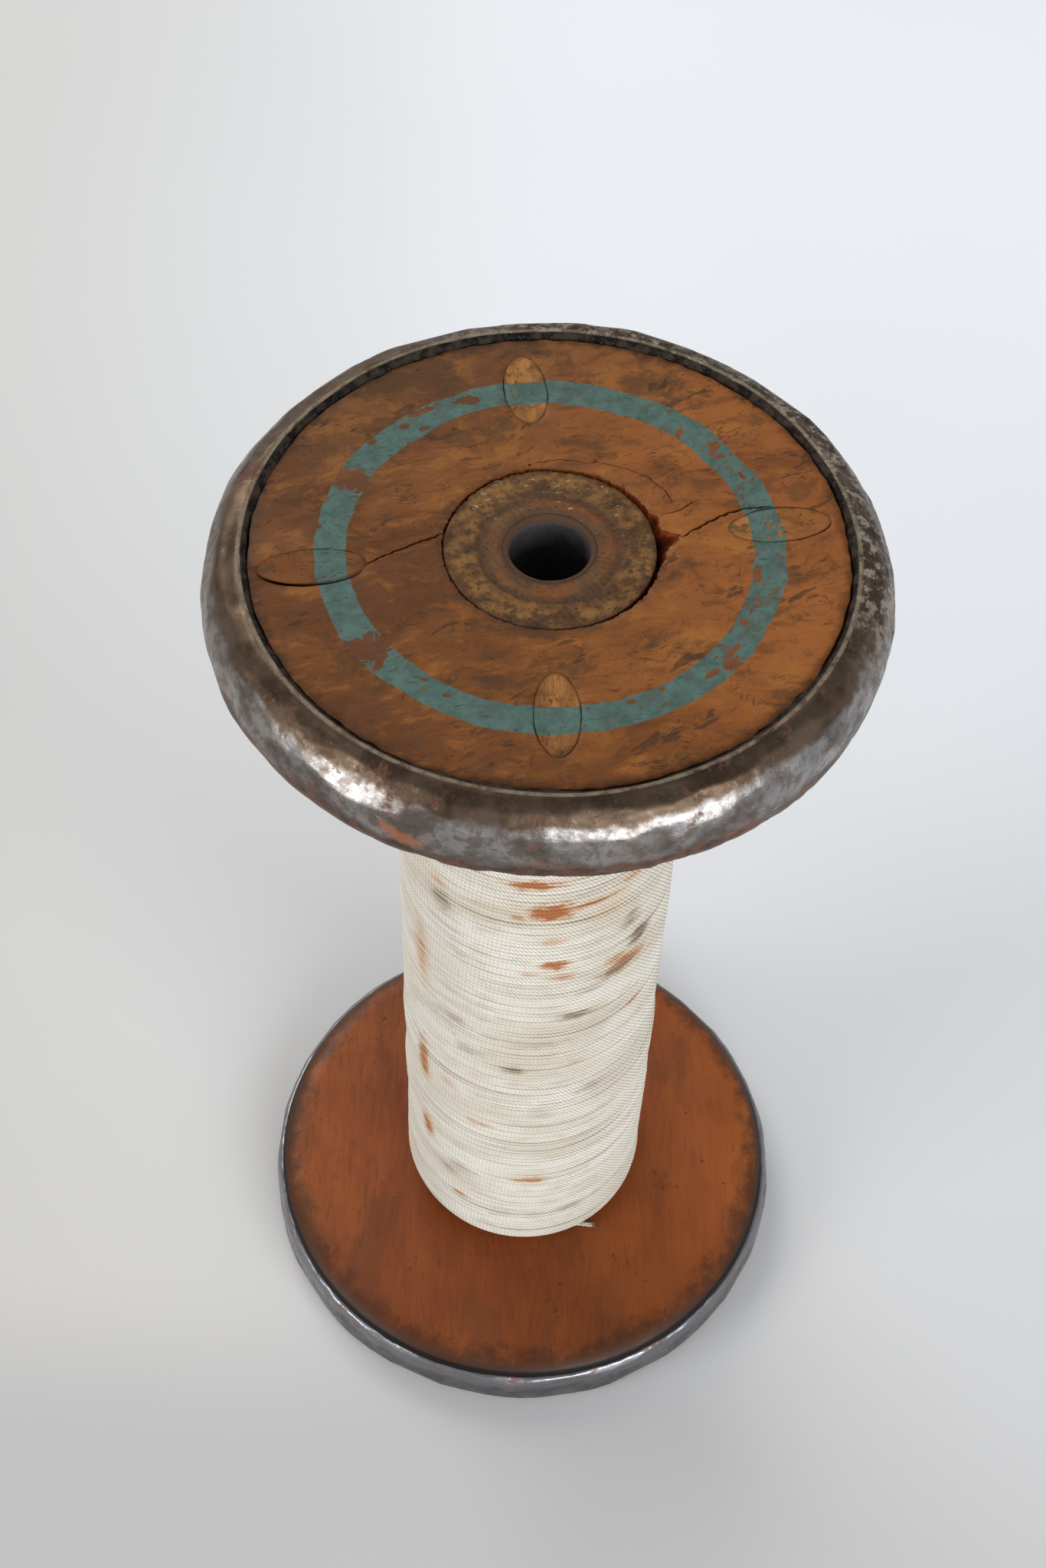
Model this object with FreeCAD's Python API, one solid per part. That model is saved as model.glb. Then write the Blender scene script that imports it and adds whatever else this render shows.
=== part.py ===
import FreeCAD, Part
import math
import os

# A textile-mill spool wound with white cord.
# The spool stands on its lower head. The origin is on the spool's axis, at the plane it
# stands on. +Z runs up the axis. All sizes are in millimetres.
#
# Both heads are drawn the same way up, as the lower one: "depth" is the distance from the
# plane that the head's rim stands on towards the barrel. The upper head is then mirrored.

# ---- Driving dimensions ----------------------------------------------------------------

overall_height = 268.5
rim_radius = 70.0
winding_radius = 32.2

# Wooden heads: three plies each, with the grain of the middle one crossed.
face_depth = 1.0
outer_ply_thickness = 5.0
middle_ply_thickness = 4.9
inner_ply_thickness = 5.0
head_edge_radius = 68.9
end_face_radius = 60.0
rebate_depth = 2.6
rebate_radius = 65.5
upper_full_edge_depth = 10.4
upper_taper_start = (68.9, 12.5)
upper_taper_end = (67.4, 15.9)
lower_full_edge_depth = 10.0
lower_rounding_start = (68.4, 11.6)
lower_flat_radius = 62.0

# Barrel: one turned piece with a tenon at each end.
barrel_radius = 26.5
tenon_radius = 21.35
bore_radius = 8.8

# Steel rims, crimped over the edge of each head. The lower one is lower and crimped less.
sheet_thickness = 1.0
curl_radius = 1.1
curl_inner_radius = 60.4
curl_end_depth = 2.6
upper_shoulder_width = 7.9
upper_shoulder_drop = 11.5
upper_wall_end_depth = 13.5
upper_crimp_width = 1.4
upper_crimp_end_depth = 16.9
lower_shoulder_width = 4.5
lower_shoulder_drop = 2.6
lower_wall_end_depth = 10.4
lower_crimp_width = 0.5
lower_crimp_end_depth = 12.3

# Dowels driven at a slant through each head into the barrel's tenon. Their holes were
# drilled by eye: each has its own angle round the axis, radius where it crosses the end
# face, and slant to that face. None comes out on the barrel side beyond the barrel.
dowel_radius = 4.55
dowel_tip_radius = 14.0
dowel_places = [
    (11.0, 47.0, 25.5),
    (98.5, 45.0, 26.6),
    (189.5, 47.6, 24.8),
    (273.8, 42.4, 26.6),
]

# Bushes that line the ends of the bore.
bush_bore_radius = 8.25
bush_wall = 1.2
bush_length = 30.0
bush_recess = 0.4

# Cord.
cord_radius = 0.7
winding_step_radius = 28.0
winding_step_height = 1.8
winding_rounding = 7.0
loose_end_length = 5.6
loose_end_x = 15.4
loose_end_y = -24.85
loose_end_lift = 0.15
loose_end_rounding = 0.4

# Clearances between fitted pieces.
wood_fit = 0.05
dowel_fit = 0.03
head_gap = 0.1

# ---- Sizes worked out from the driving dimensions --------------------------------------

first_glue_depth = face_depth + outer_ply_thickness
second_glue_depth = first_glue_depth + middle_ply_thickness
barrel_side_depth = second_glue_depth + inner_ply_thickness
bush_outer_radius = bush_bore_radius + bush_wall
bush_end_depth = face_depth + bush_recess

ORIGIN = FreeCAD.Vector(0, 0, 0)
UP = FreeCAD.Vector(0, 0, 1)


# ---- Helpers ---------------------------------------------------------------------------

def point(radius, height):
    """A point of a turned section, in the XZ plane."""
    return FreeCAD.Vector(radius, 0, height)


def line(start, end):
    return Part.makeLine(point(*start), point(*end))


def quarter_ellipse(centre, radial, axial, from_degrees):
    """A quarter of an ellipse round centre, running 90 degrees on from from_degrees.

    0 degrees points away from the spool's axis, and 90 degrees points along +Z.
    """
    angles = [math.radians(from_degrees + turn) for turn in (0, 45, 90)]
    arc = Part.Arc(*[point(math.cos(angle), math.sin(angle)) for angle in angles]).toShape()
    stretch = FreeCAD.Matrix()
    stretch.scale(radial, 1, axial)
    arc = arc.transformGeometry(stretch)
    arc.translate(point(*centre))
    return arc


def turned(edges):
    """Turns a closed section round the spool's axis."""
    wire = Part.Wire(Part.__sortEdges__(edges))
    return Part.Face(wire).revolve(ORIGIN, UP, 360)


def turned_polygon(corners):
    """Turns a section with straight sides round the spool's axis."""
    closed = corners + corners[:1]
    return turned([line(start, end) for start, end in zip(closed, closed[1:])])


def flipped(shape):
    """The same piece on the upper head."""
    return shape.mirror(FreeCAD.Vector(0, 0, overall_height / 2), UP)


def disc_ring(inner, outer, low, high):
    return turned_polygon([(inner, low), (outer, low), (outer, high), (inner, high)])


def write(shapes):
    os.makedirs("parts", exist_ok=True)
    for name, shape in shapes.items():
        shape.exportStep("parts/" + name + ".step")
        print(name, "solids", len(shape.Solids), "valid", shape.isValid(),
              "volume", round(shape.Volume, 2))


# ---- Pieces of a head ------------------------------------------------------------------

def head_blank(full_edge_depth, barrel_side_edge, flat_radius):
    """The whole wooden head before it is divided into plies.

    A rebate round the end face leaves room for the rim's curled lip. barrel_side_edge is the
    edge that the rim is crimped over, and it ends at the flat part of the barrel's side.
    """
    hole = tenon_radius + wood_fit
    corners = [
        (flat_radius, barrel_side_depth),
        (hole, barrel_side_depth),
        (hole, face_depth),
        (end_face_radius, face_depth),
        (end_face_radius, face_depth + rebate_depth),
        (rebate_radius, face_depth + rebate_depth),
        (head_edge_radius, full_edge_depth),
    ]
    sides = [line(start, end) for start, end in zip(corners, corners[1:])]
    return turned(sides + barrel_side_edge)


def upper_blank():
    """The upper head, tapered towards the barrel."""
    edge = [
        line((head_edge_radius, upper_full_edge_depth), upper_taper_start),
        line(upper_taper_start, upper_taper_end),
    ]
    return head_blank(upper_full_edge_depth, edge, upper_taper_end[0])


def lower_blank():
    """The lower head, widely rounded towards the barrel."""
    start_radius, start_depth = lower_rounding_start
    edge = [
        line((head_edge_radius, lower_full_edge_depth), lower_rounding_start),
        quarter_ellipse((lower_flat_radius, start_depth), start_radius - lower_flat_radius,
                        barrel_side_depth - start_depth, 0),
    ]
    return head_blank(lower_full_edge_depth, edge, lower_flat_radius)


def slanted_rod(angle, face_radius, slant, radius):
    """A rod from beyond the end face, through the head, to its tip in the tenon."""
    slant = math.radians(slant)
    turn = math.radians(angle)
    outwards = FreeCAD.Vector(math.cos(turn), math.sin(turn), 0)
    direction = UP * math.sin(slant) - outwards * math.cos(slant)
    lead = 2 * dowel_radius / math.tan(slant)
    run = (face_radius - dowel_tip_radius) / math.cos(slant)
    start = outwards * face_radius + UP * face_depth - direction * lead
    return Part.makeCylinder(radius, lead + run, start, direction)


def dowels(extra_radius, above_face):
    """The slanted dowels, or with extra_radius the holes they are driven into."""
    radius = dowel_radius + extra_radius
    rods = Part.makeCompound([slanted_rod(*place, radius) for place in dowel_places])
    if above_face:
        return rods
    below = Part.makeBox(2 * rim_radius, 2 * rim_radius, overall_height / 2,
                         FreeCAD.Vector(-rim_radius, -rim_radius, face_depth))
    return Part.makeCompound([rod.common(below) for rod in rods.Solids])


def ply(blank, low, high):
    slice_of_head = disc_ring(tenon_radius / 2, rim_radius, low, high)
    return blank.common(slice_of_head).cut(dowels(dowel_fit, True))


def steel_rim(shoulder_width, shoulder_drop, wall_end_depth, crimp_width, crimp_end_depth):
    """A hoop of sheet steel, seen in section from its curled lip to its crimped edge."""
    crest_start = curl_inner_radius + curl_radius
    crest_end = rim_radius - shoulder_width
    inside = rim_radius - sheet_thickness
    curl_outside = curl_inner_radius + sheet_thickness
    lip_rounding = curl_radius - sheet_thickness / 2
    crimp_centre = (rim_radius - crimp_width, wall_end_depth)
    crimp_drop = crimp_end_depth - wall_end_depth
    outside = [
        line((curl_inner_radius, curl_end_depth), (curl_inner_radius, curl_radius)),
        quarter_ellipse((crest_start, curl_radius), curl_radius, curl_radius, 180),
        line((crest_start, 0), (crest_end, 0)),
        quarter_ellipse((crest_end, shoulder_drop), shoulder_width, shoulder_drop, 270),
        line((rim_radius, shoulder_drop), (rim_radius, wall_end_depth)),
        quarter_ellipse(crimp_centre, crimp_width, crimp_drop, 0),
    ]
    within = [
        line((rim_radius - crimp_width, crimp_end_depth),
             (inside - crimp_width, crimp_end_depth)),
        quarter_ellipse((inside - crimp_width, wall_end_depth), crimp_width, crimp_drop, 0),
        line((inside, wall_end_depth), (inside, shoulder_drop)),
        quarter_ellipse((crest_end, shoulder_drop), shoulder_width - sheet_thickness,
                        shoulder_drop - sheet_thickness, 270),
        line((crest_end, sheet_thickness), (curl_outside + lip_rounding, sheet_thickness)),
        quarter_ellipse((curl_outside + lip_rounding, sheet_thickness + lip_rounding),
                        lip_rounding, lip_rounding, 180),
        line((curl_outside, sheet_thickness + lip_rounding), (curl_outside, curl_end_depth)),
        line((curl_outside, curl_end_depth), (curl_inner_radius, curl_end_depth)),
    ]
    return turned(outside + within)


def bore_bush():
    return disc_ring(bush_bore_radius, bush_outer_radius,
                     bush_end_depth, bush_end_depth + bush_length)


def head_pieces(place, blank, rim):
    """Every piece of one head, named after the head it belongs to."""
    return {
        place + "_outer_ply": ply(blank, face_depth, first_glue_depth),
        place + "_middle_ply": ply(blank, first_glue_depth, second_glue_depth),
        place + "_inner_ply": ply(blank, second_glue_depth, barrel_side_depth),
        place + "_steel_rim": rim,
        place + "_locking_dowels": dowels(0.0, False),
        place + "_bore_bush": bore_bush(),
    }


# ---- Pieces on the axis ----------------------------------------------------------------

def barrel():
    """The turned wooden barrel, bored through, with a seat for a bush at each end."""
    seat_radius = bush_outer_radius + wood_fit
    seat_end = bush_end_depth + bush_length
    top = overall_height
    blank = turned_polygon([
        (seat_radius, face_depth),
        (tenon_radius, face_depth),
        (tenon_radius, barrel_side_depth),
        (barrel_radius, barrel_side_depth),
        (barrel_radius, top - barrel_side_depth),
        (tenon_radius, top - barrel_side_depth),
        (tenon_radius, top - face_depth),
        (seat_radius, top - face_depth),
        (seat_radius, top - seat_end),
        (bore_radius, top - seat_end),
        (bore_radius, seat_end),
        (seat_radius, seat_end),
    ])
    holes = dowels(dowel_fit, True)
    return blank.cut(holes).cut(flipped(holes))


def cord_winding():
    """The wound cord as one smooth sleeve that rounds in towards both heads.

    The step next to each head is where the first turns of cord lie.
    """
    inner = barrel_radius + wood_fit
    low = barrel_side_depth + head_gap
    high = overall_height - low
    step = winding_step_height
    core = winding_radius - winding_step_radius
    return turned([
        line((inner, low), (winding_step_radius, low)),
        line((winding_step_radius, low), (winding_step_radius, low + step)),
        quarter_ellipse((winding_step_radius, low + step + winding_rounding),
                        core, winding_rounding, 270),
        line((winding_radius, low + step + winding_rounding),
             (winding_radius, high - step - winding_rounding)),
        quarter_ellipse((winding_step_radius, high - step - winding_rounding),
                        core, winding_rounding, 0),
        line((winding_step_radius, high - step), (winding_step_radius, high)),
        line((winding_step_radius, high), (inner, high)),
        line((inner, high), (inner, low)),
    ])


def loose_cord_end():
    """The short end of cord that sticks out from under the winding, over the lower head."""
    height = barrel_side_depth + loose_end_lift + cord_radius
    root = FreeCAD.Vector(loose_end_x, loose_end_y, height)
    rod = Part.makeCylinder(cord_radius, loose_end_length, root, FreeCAD.Vector(1, 0, 0))
    return rod.makeFillet(loose_end_rounding, [edge for edge in rod.Edges if edge.Closed])


# ---- The whole spool -------------------------------------------------------------------

def spool():
    lower_rim = steel_rim(lower_shoulder_width, lower_shoulder_drop, lower_wall_end_depth,
                          lower_crimp_width, lower_crimp_end_depth)
    upper_rim = steel_rim(upper_shoulder_width, upper_shoulder_drop, upper_wall_end_depth,
                          upper_crimp_width, upper_crimp_end_depth)
    pieces = head_pieces("lower", lower_blank(), lower_rim)
    upper = head_pieces("upper", upper_blank(), upper_rim)
    for name, shape in upper.items():
        pieces[name] = flipped(shape)
    pieces["barrel"] = barrel()
    pieces["cord_winding"] = cord_winding()
    pieces["loose_cord_end"] = loose_cord_end()
    return pieces


write(spool())
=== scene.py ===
import math

import bpy
import numpy as np
from mathutils import Matrix, Vector
from mathutils.geometry import delaunay_2d_cdt

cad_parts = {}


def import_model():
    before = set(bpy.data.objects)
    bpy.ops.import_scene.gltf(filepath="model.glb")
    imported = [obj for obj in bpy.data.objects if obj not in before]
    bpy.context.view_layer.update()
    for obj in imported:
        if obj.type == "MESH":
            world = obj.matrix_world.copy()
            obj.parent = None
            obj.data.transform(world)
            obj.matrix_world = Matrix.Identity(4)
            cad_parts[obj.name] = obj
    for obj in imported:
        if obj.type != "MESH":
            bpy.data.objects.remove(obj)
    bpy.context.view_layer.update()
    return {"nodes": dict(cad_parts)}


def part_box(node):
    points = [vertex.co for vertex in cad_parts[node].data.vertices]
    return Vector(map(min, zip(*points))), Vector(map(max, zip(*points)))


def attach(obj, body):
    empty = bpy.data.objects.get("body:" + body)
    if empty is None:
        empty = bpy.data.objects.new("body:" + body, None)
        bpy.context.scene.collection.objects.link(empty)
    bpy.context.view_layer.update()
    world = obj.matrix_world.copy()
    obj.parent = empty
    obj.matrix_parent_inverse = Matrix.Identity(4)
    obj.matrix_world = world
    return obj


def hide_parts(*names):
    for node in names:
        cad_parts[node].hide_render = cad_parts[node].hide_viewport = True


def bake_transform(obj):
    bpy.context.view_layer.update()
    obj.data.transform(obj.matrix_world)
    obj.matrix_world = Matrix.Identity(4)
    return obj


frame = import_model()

# The looks of an old mill spool wound with white cord. Lengths are in millimetres and
# angles in degrees unless a name says otherwise. MM turns a length into metres.
#
# Each head is drawn in "depth", the distance from the plane that its rim stands on towards
# the barrel, and is then placed at the bottom or at the top of the spool.

MM = 0.001


def box_mm(node):
    """The lowest and highest corner of a CAD node's box."""
    low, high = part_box(node)
    return np.array(low) / MM, np.array(high) / MM


# ---- Sizes read from the frame ---------------------------------------------------------

HEIGHT = box_mm("upper_steel_rim")[1][2]
RIM_RADIUS = box_mm("upper_steel_rim")[1][0]
FACE_DEPTH = box_mm("lower_outer_ply")[0][2]
GLUE_DEPTH = box_mm("lower_outer_ply")[1][2]
OUTER_PLY_RADIUS = box_mm("lower_outer_ply")[1][0]
BARREL_SIDE_DEPTH = box_mm("lower_inner_ply")[1][2]
LOWER_RIM_DEPTH = box_mm("lower_steel_rim")[1][2]
UPPER_RIM_DEPTH = HEIGHT - box_mm("upper_steel_rim")[0][2]
BARREL_RADIUS = box_mm("barrel")[1][0]
BUSH_RADIUS = box_mm("lower_bore_bush")[1][0]
BUSH_START, BUSH_END = box_mm("lower_bore_bush")[0][2], box_mm("lower_bore_bush")[1][2]
WINDING_LOW, WINDING_HIGH = box_mm("cord_winding")[0][2], box_mm("cord_winding")[1][2]
WINDING_RADIUS = box_mm("cord_winding")[1][0]
LOOSE_LOW, LOOSE_HIGH = box_mm("loose_cord_end")
CORD_RADIUS = (LOOSE_HIGH[2] - LOOSE_LOW[2]) / 2

# ---- Sizes that a node's box doesn't show ----------------------------------------------

TENON_RADIUS = 21.35
HEAD_HOLE_RADIUS = 21.4
END_FACE_RADIUS = 60.0
REBATE_RADIUS = 65.5
REBATE_DEPTH = 3.6
BORE_RADIUS = 8.8
BUSH_BORE_RADIUS = 8.25
DOWEL_RADIUS = 4.55
DOWEL_TIP_RADIUS = 14.0
# Each dowel's angle round the axis, radius where it crosses the end face, and slant to it.
DOWELS = [(11.0, 47.0, 25.5), (98.5, 45.0, 26.6), (189.5, 47.6, 24.8), (273.8, 42.4, 26.6)]
SHEET = 1.0
LIP_RADIUS = 60.4
PAINT_INNER, PAINT_OUTER = 40.6, 47.1
GRAIN = 17.0


# ---- Small helpers ---------------------------------------------------------------------

def unit(vectors):
    """Vectors, each scaled to length 1."""
    return vectors / np.linalg.norm(vectors, axis=1, keepdims=True)


def distance_along(path):
    """How far along a path each of its points is."""
    steps = np.linalg.norm(np.diff(path, axis=0), axis=1)
    return np.concatenate([[0], np.cumsum(steps)])


def ring_points(angles, radius):
    """Points of the XY plane at these angles round the axis."""
    return np.column_stack([radius * np.cos(angles), radius * np.sin(angles)])


def at_depth(flat, depth=0.0):
    """Points of the XY plane, given a third coordinate."""
    return np.column_stack([flat, np.broadcast_to(depth, len(flat))])


def waves(seed, size, count=14):
    """Smooth seeded unevenness of space, about size long and about 1 high."""
    chance = np.random.default_rng(seed)
    directions = unit(chance.normal(size=(count, 3)))
    turns = 2 * math.pi / size * chance.uniform(0.6, 1.5, (count, 1))
    shifts = chance.uniform(0, 2 * math.pi, count)

    def height(points):
        """How high the unevenness is at each point."""
        phase = np.asarray(points) @ (directions * turns).T + shifts
        return np.sin(phase).sum(axis=-1) / math.sqrt(count / 2)

    return height


def smooth(value, low, high):
    """0 below low, 1 above high and a smooth step between them."""
    share = np.clip((value - low) / (high - low), 0, 1)
    return share * share * (3 - 2 * share)


def window(value, low, high, soft):
    """1 between low and high, falling to 0 over soft on either side."""
    return smooth(value, low - soft, low) * (1 - smooth(value, high, high + soft))


def circle(count):
    """Even angles round a full turn, in radians."""
    return np.arange(count) * 2 * math.pi / count


def quarter(centre, radial, axial, from_degrees, count):
    """Points of a quarter of an ellipse in a turned section, as in the CAD part."""
    angles = np.radians(np.linspace(from_degrees, from_degrees + 90, count))
    return np.column_stack([centre[0] + radial * np.cos(angles),
                            centre[1] + axial * np.sin(angles)])


def straight(start, end, count):
    """Points from start up to but not including end."""
    share = np.arange(count)[:, None] / count
    return np.array(start) * (1 - share) + np.array(end) * share


def placed(points, head):
    """Points drawn in depth, put on the lower or the upper head."""
    points = np.array(points, float)
    if head == "upper":
        points[:, 2] = HEIGHT - points[:, 2]
    return points


# Edges that turn by more than this many degrees look like corners; the rest look rounded.
SHARP_ANGLE = 55


class Shape:
    """Collects points and faces of one piece."""

    def __init__(self):
        self.points = []
        self.faces = []
        self.shade_and_raw = []
        self.count = 0

    def add(self, points, shade_and_raw=0.0):
        """Adds points and returns their numbers.

        raw is a number that the material reads at each point. Its meaning is the piece's own.
        """
        points = np.asarray(points, float)
        self.points.append(points)
        self.shade_and_raw.append(np.broadcast_to(shade_and_raw, len(points)))
        self.count += len(points)
        return np.arange(self.count - len(points), self.count)

    def strip(self, first, second):
        """Joins two closed rings that have the same number of points."""
        quads = np.column_stack([first, np.roll(first, -1), np.roll(second, -1), second])
        self.faces += quads.tolist()

    def tube(self, rings):
        """Joins each of these rings to the next."""
        for first, second in zip(rings, rings[1:]):
            self.strip(first, second)

    def rings(self, grid, shade_and_raw=0.0, closed=True):
        """Joins the rows of a grid of points, each of which is a closed ring."""
        rows, columns = grid.shape[:2]
        numbers = self.add(grid.reshape(-1, 3), shade_and_raw).reshape(rows, columns)
        self.tube(numbers)
        if closed:
            self.strip(numbers[-1], numbers[0])
        return numbers

    def fan(self, ring, centre, shade_and_raw=0.0):
        """Closes a ring with a fan round a centre point."""
        middle = int(self.add([centre], shade_and_raw)[0])
        self.faces += [(int(a), int(b), middle) for a, b in zip(ring, np.roll(ring, -1))]

    def piece(self, name, material, node, place=None, uv=None):
        """Makes the Blender object that stands for a CAD node."""
        points = np.concatenate(self.points)
        if place:
            points = placed(points, place)
        mesh = bpy.data.meshes.new(name)
        mesh.from_pydata((points * MM).tolist(), [], self.faces)
        shade_and_raw = mesh.attributes.new("shade_and_raw", "FLOAT", "POINT")
        shade_and_raw.data.foreach_set("value", np.concatenate(self.shade_and_raw).astype(np.float32))
        if uv is not None:
            mesh.uv_layers.new(name="cord").data.foreach_set("uv", uv.astype(np.float32).ravel())
        mesh.materials.append(material)
        mesh.shade_smooth()
        mesh.set_sharp_from_angle(angle=math.radians(SHARP_ANGLE))
        thing = bpy.data.objects.new(name, mesh)
        bpy.context.scene.collection.objects.link(thing)
        turn_outwards(mesh)
        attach(thing, "spool")
        if node:
            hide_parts(node)
        return thing


def turn_outwards(mesh):
    """Makes the faces of a closed mesh face outwards: its signed volume must be above 0."""
    mesh.calc_loop_triangles()
    corners = np.empty(len(mesh.loop_triangles) * 3, np.int32)
    mesh.loop_triangles.foreach_get("vertices", corners)
    places = np.empty(len(mesh.vertices) * 3)
    mesh.vertices.foreach_get("co", places)
    a, b, c = places.reshape(-1, 3)[corners.reshape(-1, 3)].transpose(1, 0, 2)
    if (a * np.cross(b, c)).sum() < 0:
        mesh.flip_normals()


def turned_grid(section, count):
    """A section of (radius, depth) points turned round the axis: rows of rings."""
    section = np.asarray(section, float)
    angles = circle(count)
    radius = section[:, :1]
    return np.stack([radius * np.cos(angles), radius * np.sin(angles),
                     np.broadcast_to(section[:, 1:], (len(section), count))], axis=2)


# ---- Materials -------------------------------------------------------------------------

def colour(red, green, blue):
    """A colour given as it shows on a screen, from 0 to 255."""
    shares = [part / 255 for part in (red, green, blue)]
    return [s / 12.92 if s < 0.04045 else ((s + 0.055) / 1.055) ** 2.4 for s in shares] + [1.0]


class Value:
    """What comes out of one of a shader's nodes. Adding, subtracting and multiplying it makes
    the maths nodes for that."""

    def __init__(self, shader, socket):
        """Keeps the node's output and the shader that the node is in."""
        self.shader = shader
        self.socket = socket

    def __add__(self, other):
        """This value plus a number or another value."""
        return self.shader.maths("ADD", self, other)

    def __sub__(self, other):
        """This value minus a number or another value."""
        return self.shader.maths("SUBTRACT", self, other)

    def __rsub__(self, other):
        """A number minus this value."""
        return self.shader.maths("SUBTRACT", other, self)

    def __mul__(self, other):
        """This value times a number or another value."""
        return self.shader.maths("MULTIPLY", self, other)


class Shader:
    """One procedural material. Its places are in millimetres in the spool's own frame."""

    def __init__(self, name):
        """Starts an empty material, with the place of a point and its polar coordinates."""
        self.material = bpy.data.materials.new(name)
        self.material.use_nodes = True
        self.nodes = self.material.node_tree.nodes
        self.links = self.material.node_tree.links
        self.nodes.clear()
        self.place = self.scaled(self.node("TexCoord", {}, "Object"), 1 / MM)
        self.x, self.y, self.z = self.split(self.place)
        self.radius = self.length(self.join(self.x, self.y, 0.0))
        self.angle = self.maths("ARCTAN2", self.y, self.x)
        self.noises = 0

    def node(self, kind, inputs, output=0, **settings):
        """Adds a node with these settings and inputs, and returns one output, or all for None."""
        made = self.nodes.new("ShaderNode" + kind)
        for name, value in settings.items():
            setattr(made, name, value)
        for key, value in inputs.items():
            if isinstance(value, Value):
                self.links.new(value.socket, made.inputs[key])
            else:
                made.inputs[key].default_value = value
        if output is None:
            return [Value(self, socket) for socket in made.outputs]
        return Value(self, made.outputs[output])

    def scaled(self, vector, factor):
        """A vector times a number."""
        return self.node("VectorMath", {0: vector, "Scale": factor}, operation="SCALE")

    def length(self, vector):
        """The length of a vector."""
        return self.node("VectorMath", {0: vector}, "Value", operation="LENGTH")

    def split(self, vector):
        """The X, Y and Z of a vector."""
        return self.node("SeparateXYZ", {0: vector}, None)

    def join(self, x, y, z):
        """A vector with this X, Y and Z."""
        return self.node("CombineXYZ", {0: x, 1: y, 2: z})

    def attribute(self, name):
        """A number that the mesh holds at each of its points."""
        return self.node("Attribute", {}, "Fac", attribute_name=name)

    def maths(self, operation, *values):
        """One of Blender's maths operations."""
        return self.node("Math", dict(enumerate(values)), operation=operation)

    def most(self, *values):
        """The largest of some masks."""
        result = values[0]
        for value in values[1:]:
            result = self.maths("MAXIMUM", result, value)
        return result

    def smooth(self, value, low, high, start=0.0, end=1.0):
        """start below low, end above high, with a smooth step between them."""
        inputs = {"Value": value, "From Min": low, "From Max": high, "To Min": start, "To Max": end}
        return self.node("MapRange", inputs, interpolation_type="SMOOTHSTEP")

    def band(self, value, low, high, soft):
        """1 between low and high, falling to 0 over soft on either side."""
        return self.smooth(value, low - soft, low) * self.smooth(value, high + soft, high)

    def stretched(self, where, size, turn, shift):
        """where, seen from a frame that is moved, turned about Z and scaled."""
        inputs = {"Vector": where, "Location": shift, "Rotation": (0, 0, math.radians(turn)),
                  "Scale": size}
        return self.node("Mapping", inputs, vector_type="TEXTURE")

    def noise(self, size, along=1.0, turn=GRAIN, detail=3.0, rough=0.55, where=None):
        """Cloudy noise round 0.5. Its blotches are about size, and along times that long.

        Each call looks at a part of the noise of its own.
        """
        self.noises += 1
        shift = (31.7 * self.noises, -17.3 * self.noises, 53.1 * self.noises)
        vector = self.stretched(self.place if where is None else where,
                                (size * along, size, size), turn, shift)
        return self.node("TexNoise", {"Vector": vector, "Scale": 1.0, "Detail": detail,
                                      "Roughness": rough})

    def wandering(self, size, reach):
        """The place, shifted by smooth noise up to about reach, so that marks wander."""
        sideways = self.noise(size, detail=2.0) - 0.5
        onwards = self.noise(size, detail=2.0) - 0.5
        shift = self.scaled(self.join(sideways, onwards, 0.0), 4 * reach)
        return self.node("VectorMath", {0: self.place, 1: shift}, operation="ADD")

    def hairlines(self, size, along, turn, width, where):
        """Thin wandering lines: where smooth noise passes its middle value."""
        level = self.noise(size, along=along, turn=turn, detail=4.0, rough=0.6, where=where)
        away = self.maths("ABSOLUTE", level - 0.5)
        return self.smooth(away, width, width * 0.25)

    def spot(self, where, x, y, length, width, turn=0.0, ragged=None, soft=0.25):
        """1 inside an ellipse of the XY plane of where. ragged noise roughens its outline."""
        inside = self.stretched(where, (length, width, 1.0), turn, (x, y, 0))
        across, up, _ = self.split(inside)
        distance = self.length(self.join(across, up, 0.0))
        if ragged is not None:
            distance = distance + ragged
        return self.smooth(distance, 1.0 + soft, 1.0 - soft)

    def mix(self, share, first, second):
        """The first colour where share is 0, and the second where it is 1."""
        return self.node("Mix", {0: share, 6: first, 7: second}, 2, data_type="RGBA")

    def over(self, tone, share, red, green, blue):
        """A colour with this one laid over it, where share is above 0."""
        return self.mix(share, tone, colour(red, green, blue))

    def bump(self, height, depth):
        """Relief of height 0 to 1, depth millimetres deep."""
        return self.node("Bump", {"Distance": depth * MM, "Height": height})

    def finish(self, base, roughness, normal=None, metallic=0.0, sheen=0.0, specular=0.5,
               faded=None):
        """Makes the surface and returns the material. The camera looks through it where faded
        is 1, though light still falls on it there."""
        inputs = {"Base Color": base, "Roughness": roughness, "Metallic": metallic,
                  "Sheen Weight": sheen, "Specular IOR Level": specular}
        if normal is not None:
            inputs["Normal"] = normal
        surface = self.node("BsdfPrincipled", inputs)
        if faded is not None:
            share = faded * self.node("LightPath", {}, "Is Camera Ray")
            clear = self.node("BsdfTransparent", {})
            surface = self.node("MixShader", {0: share, 1: surface, 2: clear})
        self.node("OutputMaterial", {0: surface}, None)
        return self.material


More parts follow.
